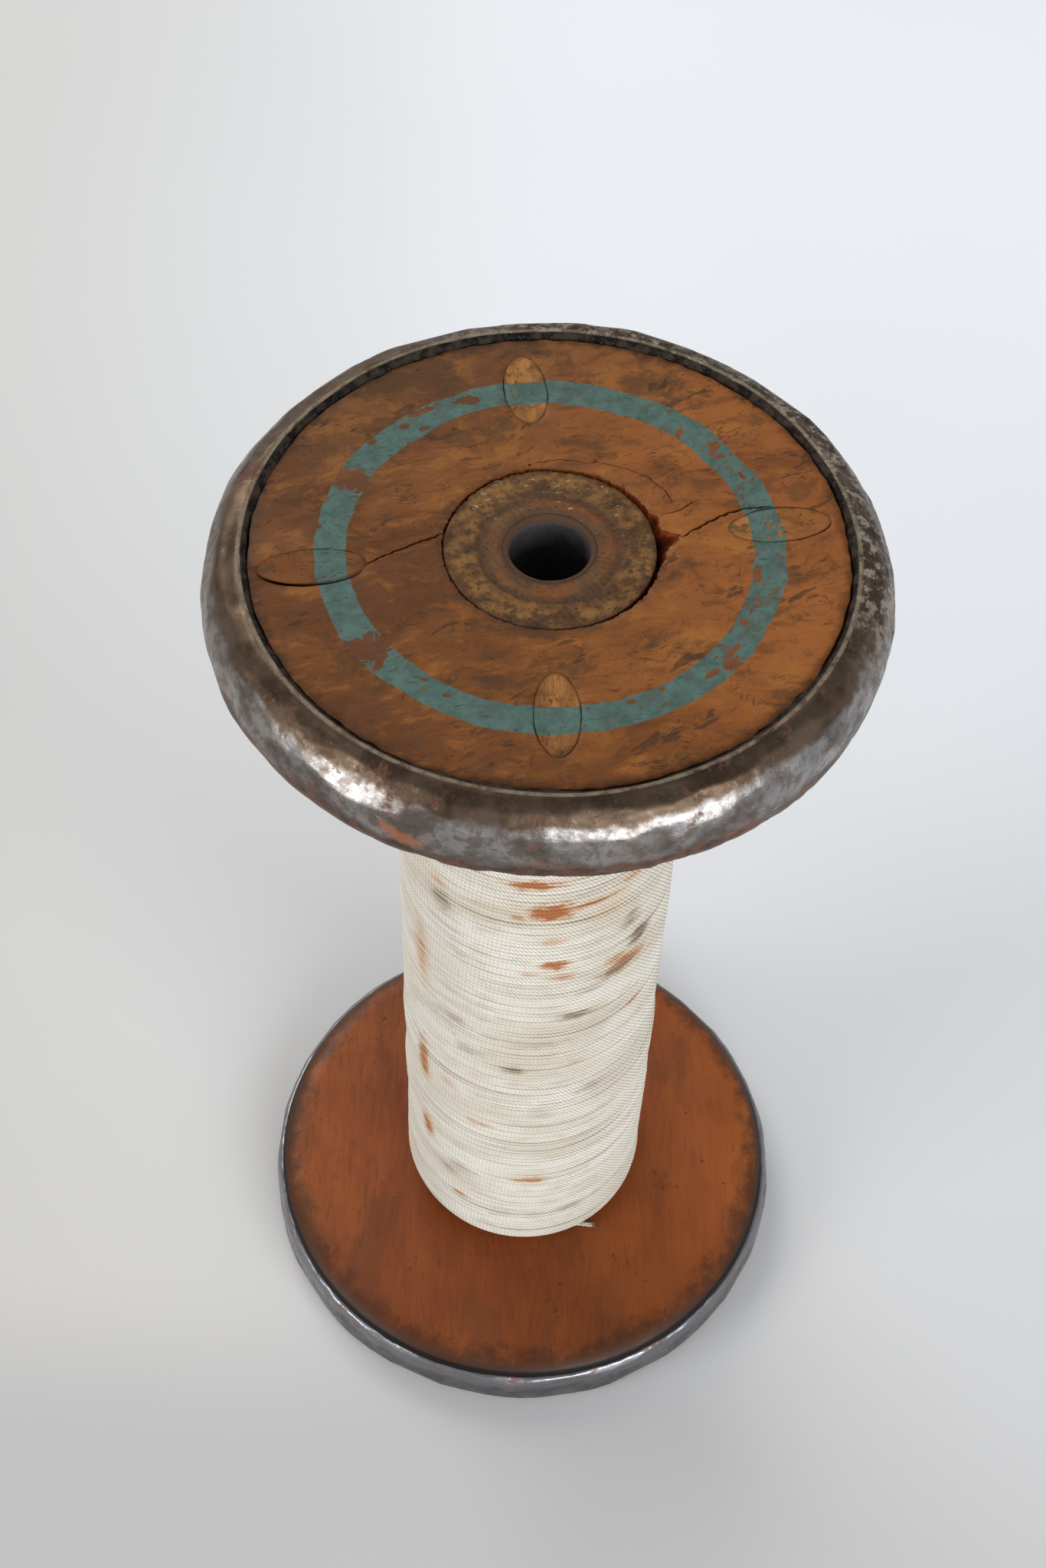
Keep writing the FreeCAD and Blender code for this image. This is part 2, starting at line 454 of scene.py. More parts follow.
# Paint lost from the ring: x, y, half length, half width and turn of each patch.
PAINT_LOSSES = [
    (-41.2, 16.2, 6.0, 2.9, 159), (-34.4, -28.4, 5.4, 3.4, 20), (-31.4, -31.6, 2.4, 0.8, 60),
    (-18.6, 40.3, 2.5, 1.3, 12), (-28.2, 36.5, 3.3, 0.8, 30), (-31.4, 32.0, 1.5, 0.8, 15),
    (-26.8, 31.9, 1.3, 0.5, 30), (-37.7, 27.0, 1.2, 0.8, 0), (-46.9, 2.9, 1.1, 0.8, 0),
    (25.7, 33.4, 0.7, 2.4, -15), (32.9, 29.8, 2.0, 1.0, 75), (34.2, 27.2, 1.3, 0.6, 20),
    (41.2, -5.1, 0.8, 2.4, 0), (38.6, -17.4, 0.9, 0.8, 0), (36.0, -25.0, 2.8, 0.6, 55),
    (35.8, -28.4, 2.2, 1.3, 40), (32.2, -30.8, 2.4, 0.6, 40),
    (16.9, -38.4, 1.0, 0.5, 20), (22.4, -34.8, 0.7, 0.6, 0), (46.0, 6.6, 0.5, 1.1, 0),
    (-22.6, -35.4, 1.0, 0.5, -20), (-18.2, -39.0, 0.8, 0.4, -10), (38.6, 22.0, 0.6, 1.1, 30),
]


def ring_paint(shader):
    """The worn ring of blue-green paint: where it is, its colour, and where it is lost."""
    wobble = shader.noise(15.0, detail=2.0) * 2.4 + shader.noise(2.6, detail=4.0) - 1.7
    radius = shader.radius + wobble
    ring = shader.band(radius, PAINT_INNER + 0.15, PAINT_OUTER - 0.15, 0.2)
    edge_noise = shader.noise(1.8, detail=5.0, rough=0.7) * 2.8 - 1.4
    losses = [shader.spot(shader.place, *loss, ragged=edge_noise, soft=0.06)
              for loss in PAINT_LOSSES]
    right_side = shader.smooth(shader.x, 10.0, 46.0)
    chips = shader.noise(1.3, along=1.8, turn=50, detail=5.0, rough=0.68)
    flakes = shader.smooth(chips + right_side * 0.07, 0.650, 0.660)
    kept = 1.0 - shader.most(flakes, *losses)
    mottled = shader.mix(shader.smooth(shader.noise(3.6, detail=6.0, rough=0.65), 0.36, 0.64),
                         colour(74, 95, 87), colour(86, 112, 104))
    greenish = shader.noise(2.4, along=1.8, detail=5.0, rough=0.65)
    film = shader.smooth(greenish, 0.54, 0.66, 0.0, 0.55)
    mottled = shader.over(mottled, film, 80, 82, 66)
    scuffed = shader.mix(shader.smooth(shader.noise(0.6, along=4.0), 0.60, 0.75, 0.0, 0.8),
                         mottled, colour(52, 56, 46))
    return ring * kept, scuffed, ring * (1.0 - kept)


def wood_tones(shader, dark, middle, pale, grain, where=None):
    """Wood colour and relief: broad tone, and streaks and fibres along the grain."""
    broad = shader.noise(26.0, along=1.6, turn=grain, detail=3.0, where=where)
    streaks = shader.noise(1.3, along=9.0, turn=grain, detail=4.0, rough=0.6, where=where)
    fibres = shader.noise(0.35, along=14.0, turn=grain, detail=2.0, where=where)
    tone = shader.mix(shader.smooth(broad, 0.36, 0.64), middle, pale)
    tone = shader.mix(shader.smooth(streaks, 0.46, 0.78, 0.0, 0.5), tone, dark)
    tone = shader.mix(shader.smooth(streaks, 0.48, 0.25, 0.0, 0.4), tone, pale)
    tone = shader.mix(shader.smooth(fibres, 0.55, 0.85, 0.0, 0.3), tone, dark)
    relief = streaks * -0.6 - fibres * 0.5
    return tone, relief


def flecks(shader, size, along, turn, start, end, where=None):
    """Short dark marks scattered along the grain."""
    marks = shader.noise(size, along=along, turn=turn, detail=3.0, rough=0.6, where=where)
    return shader.smooth(marks, start, end)


def end_face_wood(name, painted=False):
    """Oiled veneer of an end face: patchy, scuffed and cracked by years of knocks."""
    shader = Shader(name)
    wood = shader.wandering(14.0, 2.2)
    tone, relief = wood_tones(shader, colour(76, 46, 24), colour(112, 65, 30),
                              colour(136, 82, 38), GRAIN, wood)
    right = shader.smooth(shader.x + shader.y * 0.4, -56.0, 52.0)
    tone = shader.over(tone, shader.smooth(right, 0.35, 1.0, 0.0, 0.45), 172, 102, 52)
    tone = shader.over(tone, shader.smooth(right, 0.45, 0.0, 0.0, 0.45), 84, 48, 24)
    middling = shader.noise(4.0, along=2.0, detail=5.0, rough=0.65, where=wood)
    tone = shader.over(tone, shader.smooth(middling, 0.52, 0.66, 0.0, 0.55), 86, 56, 32)
    tone = shader.over(tone, shader.smooth(middling, 0.46, 0.34, 0.0, 0.45), 158, 98, 44)
    patches = shader.noise(9.0, along=1.7, detail=6.0, rough=0.62, where=wood)
    tone = shader.over(tone, shader.smooth(patches, 0.52, 0.66, 0.0, 0.6), 164, 104, 46)
    tone = shader.over(tone, shader.smooth(patches, 0.47, 0.34, 0.0, 0.5), 90, 52, 26)
    far_left = shader.smooth(shader.y - shader.x * 0.5, 20.0, 62.0)
    grime = shader.noise(10.0, along=1.5, detail=7.0, rough=0.7, where=wood)
    grime = grime + far_left * 0.08
    tone = shader.over(tone, far_left * 0.35, 84, 62, 42)
    tone = shader.over(tone, shader.smooth(grime, 0.54, 0.64, 0.0, 0.6), 74, 54, 36)
    lines = shader.hairlines(5.0, 5.0, GRAIN + 8, 0.013, wood)
    lines = lines * shader.smooth(shader.noise(9.0), 0.52, 0.60)
    crossing = shader.hairlines(5.0, 3.0, GRAIN + 40, 0.010, wood)
    crossing = crossing * shader.smooth(shader.noise(6.0), 0.56, 0.62)
    bruises = shader.hairlines(3.0, 1.8, GRAIN - 12, 0.018, wood)
    bruises = bruises * shader.smooth(shader.noise(5.0), 0.62, 0.66)
    marks = flecks(shader, 1.5, 2.4, GRAIN + 10, 0.60, 0.70, wood)
    marks = marks * shader.smooth(grime, 0.47, 0.56, 0.1, 1.0)
    scars = flecks(shader, 3.6, 3.4, GRAIN + 20, 0.63, 0.67, wood)
    specks = shader.smooth(shader.noise(0.7, detail=2.0), 0.66, 0.74)
    cuts = shader.most(lines, crossing, bruises)
    tone = shader.over(tone, cuts * 0.6, 54, 38, 27)
    tone = shader.over(tone, marks * 0.45, 68, 48, 34)
    tone = shader.over(tone, scars * 0.65, 60, 46, 33)
    tone = shader.over(tone, specks * 0.6, 46, 32, 24)
    edge = shader.radius + shader.noise(3.0, detail=4.0) * 6.0
    tone = shader.over(tone, shader.smooth(edge, 60.5, 64.0, 0.0, 0.6), 58, 38, 25)
    tone = shader.over(tone, shader.smooth(edge, 27.5, 23.5, 0.0, 0.6), 72, 52, 37)
    relief = relief + patches * 0.9 - scars * 0.9
    roughness = shader.smooth(grime, 0.40, 0.62, 0.42, 0.62)
    if painted:
        covered, paint, bare = ring_paint(shader)
        tone = shader.over(tone, bare * 0.6, 98, 60, 42)
        scuffed = shader.most(marks, cuts) * 0.5
        worn = covered * (1.0 - scuffed)
        tone = shader.mix(worn, tone, paint)
    # Painted shade: the per-point value rises from 0 to 1 down a crack and part way down the walls
    # of the holes, and on to 2 for freshly broken wood.
    shade_and_raw = shader.attribute("shade_and_raw")
    fresh = shader.mix(shader.noise(1.2, along=2.0, detail=4.0),
                       colour(78, 34, 14), colour(160, 76, 32))
    tone = shader.over(tone, shade_and_raw, 27, 17, 12)
    tone = shader.mix(shade_and_raw - 1.0, tone, fresh)
    return shader.finish(tone, roughness, shader.bump(relief, 0.16), specular=0.12)


def smooth_wood(name, grain):
    """The plies away from the end face: polished by handling, deep orange brown."""
    shader = Shader(name)
    wood = shader.wandering(20.0, 1.2)
    tone, relief = wood_tones(shader, colour(88, 43, 19), colour(126, 62, 27),
                              colour(148, 79, 36), grain, wood)
    right = shader.smooth(shader.x, 0.0, 60.0)
    tone = shader.over(tone, right * 0.35, 158, 86, 38)
    # Painted shade, darker towards the near side; near also spreads the dirty ring at the edge
    # wider there.
    near = shader.smooth(shader.y + shader.x * 0.3, 0.0, -55.0)
    tone = shader.over(tone, near * 0.35, 96, 46, 22)
    patches = shader.noise(13.0, along=2.2, turn=grain, detail=5.0, where=wood)
    tone = shader.over(tone, shader.smooth(patches, 0.46, 0.34, 0.0, 0.35), 88, 50, 30)
    marks = flecks(shader, 1.2, 3.0, grain, 0.68, 0.75, wood)
    spots = shader.smooth(shader.noise(2.6, along=1.3, detail=3.0), 0.70, 0.74)
    tone = shader.over(tone, marks * 0.5, 64, 36, 22)
    tone = shader.over(tone, spots * 0.7, 50, 28, 19)
    lines = shader.hairlines(12.0, 3.0, grain, 0.006, wood)
    lines = lines * shader.smooth(shader.noise(14.0), 0.52, 0.58)
    tone = shader.over(tone, lines * 0.5, 66, 38, 24)
    spread = shader.noise(6.0, detail=7.0, rough=0.72)
    edge = shader.radius + spread * 18.0 - 9.0 + near * 1.6
    tone = shader.over(tone, shader.smooth(edge, 61.0, 67.5, 0.0, 0.75), 58, 38, 24)
    tone = shader.over(tone, shader.smooth(shader.radius, 65.6, 67.4, 0.0, 0.6), 46, 32, 23)
    # Painted shade: a nearly black line in the crevice where the wood meets the rim.
    tone = shader.over(tone, shader.smooth(shader.radius, 67.3, 67.7, 0.0, 0.97), 13, 10, 9)
    relief = relief + patches * 0.5 - marks * 0.6
    roughness = shader.smooth(patches, 0.35, 0.65, 0.48, 0.36)
    return shader.finish(tone, roughness, shader.bump(relief, 0.06), specular=0.2)


def dowel_wood(name, painted=False):
    """Yellower wood, with its fibres along each slanted dowel."""
    shader = Shader(name)
    around = shader.join(shader.radius, shader.angle * 45.0, shader.z)
    fibres = shader.noise(0.5, along=12.0, turn=0, detail=3.0, where=around)
    broad = shader.noise(3.5, along=2.5, turn=0, detail=3.0, where=around)
    tone = shader.mix(shader.smooth(broad, 0.35, 0.65), colour(138, 90, 46), colour(168, 114, 60))
    left = shader.smooth(shader.x, -20.0, -40.0)
    tone = shader.over(tone, left * 0.85, 112, 64, 29)
    right = shader.smooth(shader.x, 43.0, 50.0)
    tone = shader.over(tone, right * 0.7, 140, 84, 38)
    near = shader.smooth(shader.y, -42.0, -50.0)
    tone = shader.over(tone, near * 0.6, 118, 72, 36)
    tone = shader.over(tone, shader.smooth(fibres, 0.50, 0.80, 0.0, 0.6), 92, 56, 32)
    grime = shader.smooth(shader.noise(5.0, detail=6.0, rough=0.65), 0.50, 0.62, 0.0, 0.7)
    tone = shader.over(tone, grime, 84, 58, 34)
    pores = shader.noise(0.6, along=2.2, turn=0, detail=2.0, where=around)
    pores = shader.smooth(pores, 0.62, 0.70)
    tone = shader.over(tone, pores * 0.7, 58, 38, 25)
    relief = fibres * -0.7 - pores * 0.8
    if painted:
        covered, paint, _ = ring_paint(shader)
        worn = covered * (1.0 - pores * 0.8)
        tone = shader.mix(worn, tone, paint)
        relief = relief + covered * 0.6
    # Painted shade on the dowel's edge and sides, in the gap round it.
    shade_and_raw = shader.attribute("shade_and_raw")
    tone = shader.over(tone, shade_and_raw * 0.8, 48, 30, 18)
    return shader.finish(tone, 0.55, shader.bump(relief, 0.12), specular=0.12)


def barrel_wood(name):
    """End grain of the barrel: stained rings round the bore and mottled yellowish wood."""
    shader = Shader(name)
    wobble = shader.noise(6.0, detail=4.0) * 3.2 - 1.6
    radius = shader.radius + wobble
    patches = shader.noise(4.2, detail=6.0, rough=0.66)
    tone = shader.mix(shader.smooth(patches, 0.38, 0.62), colour(86, 58, 36), colour(134, 96, 54))
    stains = shader.smooth(shader.noise(3.6, along=1.6, detail=6.0, rough=0.68), 0.52, 0.60)
    tone = shader.over(tone, stains * 0.7, 64, 50, 38)
    inner = shader.smooth(radius, 17.0, 13.0)
    tone = shader.over(tone, inner * 0.7, 98, 70, 48)
    warm = shader.band(radius, 10.6, 13.2, 1.2)
    warm = warm * shader.smooth(shader.noise(8.0, detail=3.0), 0.40, 0.60)
    tone = shader.over(tone, warm * 0.7, 124, 72, 40)
    groove = shader.band(radius, 13.4, 14.6, 0.8)
    tone = shader.over(tone, groove * 0.5, 72, 54, 42)
    mouth = shader.smooth(radius, 11.4, 9.4)
    tone = shader.over(tone, mouth * 0.8, 84, 63, 47)
    outer = shader.smooth(radius, 19.6, 21.2)
    tone = shader.over(tone, outer * 0.55, 62, 48, 36)
    specks = shader.smooth(shader.noise(0.8, detail=3.0), 0.62, 0.70)
    tone = shader.over(tone, specks * 0.55, 48, 38, 30)
    splinters = shader.smooth(shader.noise(0.9, along=3.0, detail=3.0), 0.63, 0.68)
    splinters = splinters * shader.smooth(shader.y, 4.0, 12.0)
    tone = shader.over(tone, splinters * 0.7, 190, 176, 150)
    rings = shader.join(shader.radius, shader.angle * 1.5, 0.0)
    turned = shader.noise(0.7, where=rings)
    relief = turned * 0.4 + patches * 1.2 - specks * 0.8 + splinters * 0.8
    shade_and_raw = shader.attribute("shade_and_raw")
    tone = shader.over(tone, shade_and_raw * 0.85, 84, 42, 20)
    return shader.finish(tone, 0.62, shader.bump(relief, 0.22), specular=0.1)


def upper_rim_marks(shader, tone, dull, mottle, unrolled):
    """Adds bare copper, the crust behind, a pale lip that is partly a painted highlight, and
    painted shade on the wall inside it.

    dull is the mask of what doesn't shine like steel.
    """
    ragged = mottle * 2.0 - 1.0
    bare_copper = shader.spot(unrolled, math.radians(-111.5) * RIM_RADIUS, 10.2, 5.2, 1.5, 8.0,
                              ragged, 0.5)
    tone = shader.over(tone, bare_copper * 0.75, 172, 106, 68)
    behind = shader.smooth(shader.x * 0.9 + shader.y, 18.0, 58.0)
    flaky = shader.smooth(shader.noise(2.6, detail=7.0, rough=0.74), 0.50, 0.56)
    flaky = flaky * behind
    crust = shader.smooth(shader.noise(1.8, detail=6.0, rough=0.72), 0.52, 0.58)
    crust = crust * behind
    tone = shader.over(tone, flaky * 0.8, 158, 146, 130)
    tone = shader.over(tone, crust * 0.75, 48, 37, 31)
    worn = shader.smooth(shader.noise(4.0, detail=6.0, rough=0.7), 0.36, 0.60, 0.1, 0.9)
    # The pale lip line is partly a painted highlight along the lip's crest, partly wear.
    lip = shader.band(shader.radius, 61.65, 62.15, 0.3) * worn
    tone = shader.over(tone, lip * 0.7, 146, 134, 110)
    # Painted shade on the rim's inner wall, dark and mottled.
    wall = shader.smooth(shader.radius, 61.55, 61.25)
    wall_shade_mottle = shader.smooth(mottle, 0.42, 0.58)
    tone = shader.mix(wall, tone, shader.mix(wall_shade_mottle, colour(20, 16, 13), colour(58, 48, 40)))
    dull = shader.most(dull, flaky, crust, lip, wall, bare_copper * 0.4)
    return tone, dull


def rim_steel(name, upper):
    """Knocked sheet steel: worn bright on its side, browner above and rusty below. On the lower rim
    the lightest band, along the top edge, is partly a painted highlight.
    """
    shader = Shader(name)
    depth = HEIGHT - shader.z if upper else shader.z
    unrolled = shader.join(shader.angle * RIM_RADIUS, depth, 0.0)
    cloud = shader.noise(8.0, detail=5.0, rough=0.6)
    mottle = shader.noise(3.0, detail=5.0, rough=0.62)
    fine = shader.noise(0.9, detail=4.0, rough=0.6)
    level = depth + shader.noise(6.0, detail=5.0) * 5.0 - 2.5
    steel = shader.mix(shader.smooth(cloud, 0.35, 0.65), colour(104, 98, 94), colour(156, 152, 149))
    film = shader.smooth(mottle, 0.46, 0.60, 0.0, 0.6)
    steel = shader.over(steel, film, 90, 74, 62)
    if upper:
        away = shader.smooth(shader.y, -44.0, 8.0)
        steel = shader.over(steel, away * 0.8, 94, 76, 61)
    else:
        steel = shader.over(steel, 0.7, 94, 93, 96)
        # A lighter band along the lower rim's top edge: partly wear, partly a painted highlight.
        worn = shader.smooth(level, 7.0, 9.6, 0.0, 0.6)
        steel = shader.over(steel, worn, 146, 145, 149)
    slope = shader.mix(shader.smooth(cloud, 0.38, 0.62), colour(72, 56, 43), colour(96, 79, 64))
    low = shader.mix(shader.smooth(mottle, 0.40, 0.60), colour(84, 66, 56), colour(122, 92, 76))
    if upper:
        above, below = shader.smooth(level, 4.6, 3.0), shader.smooth(level, 11.0, 13.5)
    else:
        above, below = shader.smooth(shader.radius, 68.5, 68.25), shader.smooth(level, 3.0, 0.8)
    tone = shader.mix(above, steel, slope)
    tone = shader.mix(below, tone, low)
    rust_level = shader.noise(5.0, along=1.6, turn=0, detail=6.0, rough=0.68, where=unrolled)
    rust = shader.smooth(rust_level + below * 0.04, 0.57, 0.65)
    tone = shader.over(tone, rust * 0.62, 104, 58, 42)
    pale = shader.smooth(fine, 0.58, 0.66) * shader.smooth(mottle, 0.50, 0.42)
    dull = rust * 0.7
    if upper:
        tone, dull = upper_rim_marks(shader, tone, dull, mottle, unrolled)
    scratches = shader.noise(0.5, along=10.0, turn=12, detail=3.0, where=unrolled)
    bright = shader.smooth(scratches, 0.62, 0.72, 0.0, 0.3) * (1.0 - above)
    tone = shader.over(tone, bright, 196, 192, 188)
    tone = shader.over(tone, pale * 0.15, 168, 158, 148)
    metallic = shader.smooth(dull, 0.0, 1.0, 0.92, 0.15)
    stained = shader.most(above, below)
    roughness = shader.smooth(mottle, 0.35, 0.65, 0.24, 0.36) + stained * 0.12 + dull * 0.25
    relief = mottle * 0.5 + fine * 0.12 + cloud * 0.8 - dull * 0.35
    return shader.finish(tone, roughness, shader.bump(relief, 0.15), metallic=metallic,
                         specular=shader.smooth(dull, 0.4, 1.0, 0.5, 0.12))


def bush_steel(name):
    """Dark, greasy steel, dull and brown at its mouth."""
    shader = Shader(name)
    around = shader.join(shader.angle * 8.0, shader.z, shader.radius)
    drawn = shader.noise(0.8, along=6.0, turn=90, detail=4.0, where=around)
    cloud = shader.noise(4.0, detail=5.0)
    tone = shader.mix(cloud, colour(64, 62, 62), colour(104, 103, 106))
    film = shader.smooth(shader.noise(2.2, detail=5.0), 0.55, 0.68, 0.0, 0.7)
    tone = shader.over(tone, film, 80, 62, 50)
    from_middle = shader.maths("ABSOLUTE", shader.z - HEIGHT / 2)
    mouth = shader.smooth(from_middle, HEIGHT / 2 - BUSH_START - 2.6, HEIGHT / 2 - BUSH_START - 0.6)
    tone = shader.over(tone, mouth, 84, 62, 46)
    roughness = shader.smooth(drawn, 0.3, 0.7, 0.40, 0.55) + mouth * 0.3
    metallic = shader.smooth(mouth, 0.0, 1.0, 0.6, 0.0)
    specular = shader.smooth(mouth, 0.0, 1.0, 0.4, 0.1)
    return shader.finish(tone, roughness, shader.bump(drawn, 0.06), metallic=metallic,
                         specular=specular)


# Stains on the winding: angle round the axis, height, half width in degrees, half height,
# strength, and whether it is rust or soot.
STAINS = [
    (-90, 193.5, 10.0, 1.4, 0.8, "rust"), (-82, 183.5, 8.5, 2.6, 1.0, "rust"),
    (-66, 184.5, 14.0, 0.8, 0.65, "rust"), (-80, 161.5, 5.5, 1.6, 0.8, "rust"),
    (-76, 157.0, 5.5, 1.2, 0.5, "rust"), (-91, 158.0, 4.0, 0.8, 0.4, "rust"),
    (-96, 181.0, 3.5, 1.2, 0.45, "rust"), (-48, 152.5, 9.0, 2.2, 0.8, "rust"),
    (-52, 157.0, 6.0, 1.2, 0.5, "rust"), (-82, 171.5, 6.5, 1.4, 0.35, "rust"),
    (-114, 81.0, 4.5, 1.6, 0.4, "rust"), (-108, 81.5, 5.0, 0.8, 0.5, "rust"),
    (-86, 56.0, 8.0, 1.6, 0.5, "rust"), (-121, 37.5, 5.0, 1.2, 0.5, "rust"),
    (-127, 95.5, 6.0, 2.0, 0.3, "rust"), (-144, 145.5, 5.0, 12.0, 0.45, "rust"),
    (-144, 95.0, 4.0, 8.0, 0.7, "rust"), (-68, 115.5, 5.5, 1.2, 0.35, "rust"),
    (-132, 183.0, 5.0, 2.0, 0.35, "rust"), (-58, 180.0, 9.0, 3.2, 0.3, "rust"),
    (-142, 62.0, 4.0, 5.0, 0.7, "rust"), (-44, 188.0, 8.0, 1.0, 0.5, "rust"),
    (-37, 196.0, 6.0, 1.2, 0.4, "rust"), (-112, 106.0, 7.0, 1.0, 0.3, "rust"),
    (-72, 50.0, 6.0, 1.0, 0.35, "rust"), (-38, 130.0, 6.0, 1.4, 0.4, "rust"),
    (-130, 176.0, 6.0, 3.4, 0.5, "soot"), (-40, 160.5, 7.0, 2.8, 0.65, "soot"),
    (-50, 151.5, 10.5, 1.4, 0.5, "soot"), (-96, 113.5, 5.5, 1.8, 0.6, "soot"),
    (-117, 117.0, 8.0, 1.6, 0.45, "soot"), (-70, 138.0, 8.0, 1.2, 0.6, "soot"),
    (-83, 93.0, 5.0, 3.0, 0.3, "soot"), (-121, 52.5, 8.0, 2.4, 0.4, "soot"),
    (-128, 48.0, 6.0, 1.6, 0.4, "soot"), (-66, 35.5, 8.0, 1.6, 0.35, "soot"),
    (-83, 126.0, 12.0, 1.4, 0.3, "soot"), (-63, 148.0, 7.0, 1.0, 0.35, "soot"),
    (-46, 170.0, 5.0, 3.6, 0.45, "soot"), (-125, 128.0, 8.0, 1.6, 0.35, "soot"),
    (-100, 98.0, 9.0, 1.0, 0.3, "soot"), (-60, 100.0, 9.0, 1.0, 0.35, "soot"),
    (60, 150.0, 12.0, 3.0, 0.6, "rust"), (100, 95.0, 8.0, 2.0, 0.5, "rust"),
    (130, 190.0, 10.0, 2.4, 0.6, "rust"), (35, 60.0, 9.0, 2.0, 0.45, "rust"),
    (80, 210.0, 9.0, 1.8, 0.4, "soot"), (150, 60.0, 10.0, 2.6, 0.4, "soot"),
    (10, 110.0, 8.0, 2.4, 0.45, "soot"), (165, 130.0, 7.0, 2.0, 0.35, "rust"),
]


def stained(shader, tone, ragged, unrolled, caught):
    """Adds the rust and soot stains to the cord's colour. caught is where rows hold more grime."""
    kinds = (("rust", colour(214, 172, 128), colour(172, 98, 46)),
             ("soot", colour(180, 164, 142), colour(112, 94, 74)))
    for kind, faint, strong in kinds:
        masks = []
        for angle, height, width, tall, strength, of_kind in STAINS:
            if of_kind == kind:
                across = math.radians(angle) * WINDING_RADIUS
                half = math.radians(width) * WINDING_RADIUS
                spot = shader.spot(unrolled, across, height, half, tall + 0.3, 2.0, ragged, 0.9)
                masks.append(spot * strength)
        stain = shader.most(*masks) * caught
        mark = shader.mix(shader.smooth(stain, 0.1, 0.7), faint, strong)
        tone = shader.mix(shader.smooth(stain, 0.0, 0.55), tone, mark)
    return tone


STRAND_PITCH = 1.03


def cord(name, painted_shade=0.0):
    """Three-strand cotton cord. The mesh's UV map gives millimetres along it and turns round it."""
    shader = Shader(name)
    along, around, _ = shader.split(shader.node("UVMap", {}, uv_map="cord"))
    lay = along * (1 / STRAND_PITCH) + around * 3.0
    share = shader.maths("FRACT", lay)
    strand = shader.maths("SINE", share * math.pi)
    fibre_place = shader.join(lay, around * 5.0, along * 0.02)
    fibres = shader.noise(0.22, along=1.0, turn=0, detail=3.0, where=fibre_place)
    fine = shader.noise(0.5, detail=3.0)
    unrolled = shader.join(shader.angle * WINDING_RADIUS, shader.z, 0.0)
    broad = shader.noise(14.0, along=2.4, turn=0, detail=4.0, where=unrolled)
    rows = shader.noise(1.1, along=26.0, turn=0, detail=3.0, rough=0.6, where=unrolled)
    clouds = shader.noise(7.0, along=2.0, turn=0, detail=6.0, rough=0.65, where=unrolled)
    tone = shader.mix(shader.smooth(broad, 0.35, 0.65),
                      colour(219, 209, 191), colour(235, 229, 217))
    tone = shader.over(tone, shader.smooth(rows, 0.50, 0.70, 0.0, 0.5), 196, 178, 150)
    tone = shader.over(tone, shader.smooth(clouds, 0.52, 0.68, 0.0, 0.5), 206, 190, 168)
    grey = shader.smooth(clouds, 0.46, 0.34) * shader.smooth(rows, 0.45, 0.60)
    tone = shader.over(tone, grey * 0.5, 176, 168, 158)
    turned = (around + 0.5 / SIDES) * 2 * math.pi
    edge = shader.maths("ABSOLUTE", shader.maths("SINE", turned))
    crease = shader.smooth(edge, 0.55, 1.0)
    caught = shader.smooth(rows + crease * 0.10, 0.36, 0.62, 0.6, 1.05)
    ragged = shader.noise(1.0, along=2.6, turn=0, detail=5.0, rough=0.65, where=unrolled)
    ragged = ragged * 2.2 - 1.1
    tone = stained(shader, tone, ragged, unrolled, caught)
    # Painted shade in the creases between rows, deeper where the row noise is high.
    crease_shade_noise = rows + clouds * 0.5
    shade_level = shader.smooth(crease_shade_noise, 0.60, 0.95, 0.35, 0.95)
    tone = shader.over(tone, crease * shade_level * 0.8, 126, 108, 84)
    # Painted shade in the grooves between the cord's strands.
    groove = shader.smooth(strand, 0.60, 0.0, 0.0, 0.42)
    tone = shader.over(tone, groove, 156, 140, 116)
    # Lines where rows are sunk at the gaps: partly dirt, partly painted shade between the rows.
    sunk = shader.smooth(shader.attribute("shade_and_raw"), 0.06, 0.36)
    beads = shader.smooth(strand, 0.9, 0.3, 0.6, 1.0)
    line = sunk * shader.smooth(edge, 0.35, 0.9) * beads * 0.75
    tone = shader.over(tone, line, 124, 98, 68)
    # Painted shade darkens the whole cord by the given share.
    if painted_shade:
        tone = shader.over(tone, painted_shade, 84, 66, 46)
    relief = strand + fibres * 0.25 + fine * 0.2
    return shader.finish(tone, 0.85, shader.bump(relief, 0.22), sheen=0.15, specular=0.2)


# ---- Wooden heads ----------------------------------------------------------------------

def ellipse_on_face(dowel, ring, grow=0.0, inwards=0.0):
    """The oval where a slanted dowel crosses the end face, or one moved inwards from there.

    ring is the angle round the oval, and grow widens it.
    """
    angle, face_radius, slant = dowel
    outwards = np.array([math.cos(math.radians(angle)), math.sin(math.radians(angle))])
    sideways = np.array([-outwards[1], outwards[0]])
    half_length = DOWEL_RADIUS / math.sin(math.radians(slant)) + grow
    half_width = DOWEL_RADIUS + grow
    return (outwards * (face_radius - inwards)
            + np.outer(half_length * np.cos(ring), outwards)
            + np.outer(half_width * np.sin(ring), sideways))


# How far the split has opened beside two of the dowels: dowel, angles round its oval, gap.
OPENED_DOWELS = {0: (15, 105, 0.42), 2: (22, 140, 0.60)}
# This dowel's edge is almost flush with the head, and these are the gaps round the four.
TIGHT_DOWEL = 2
HAIRLINES = (0.06, 0.12, 0.02, 0.09)


def dowel_gap(index, ring, split):
    """The gap round a dowel: a hairline, wider where the head has split beside it."""
    unevenness = waves(40 + index, 2.4)(at_depth(ring_points(ring, 5)))
    hairline = HAIRLINES[index] if split else 0.12
    gap = hairline * (1 + 0.4 * unevenness)
    if split and index in OPENED_DOWELS:
        start, end, width = OPENED_DOWELS[index]
        gap = gap + width * window(np.degrees(ring) % 360, start, end, 25)
    return np.maximum(gap, 0.01)


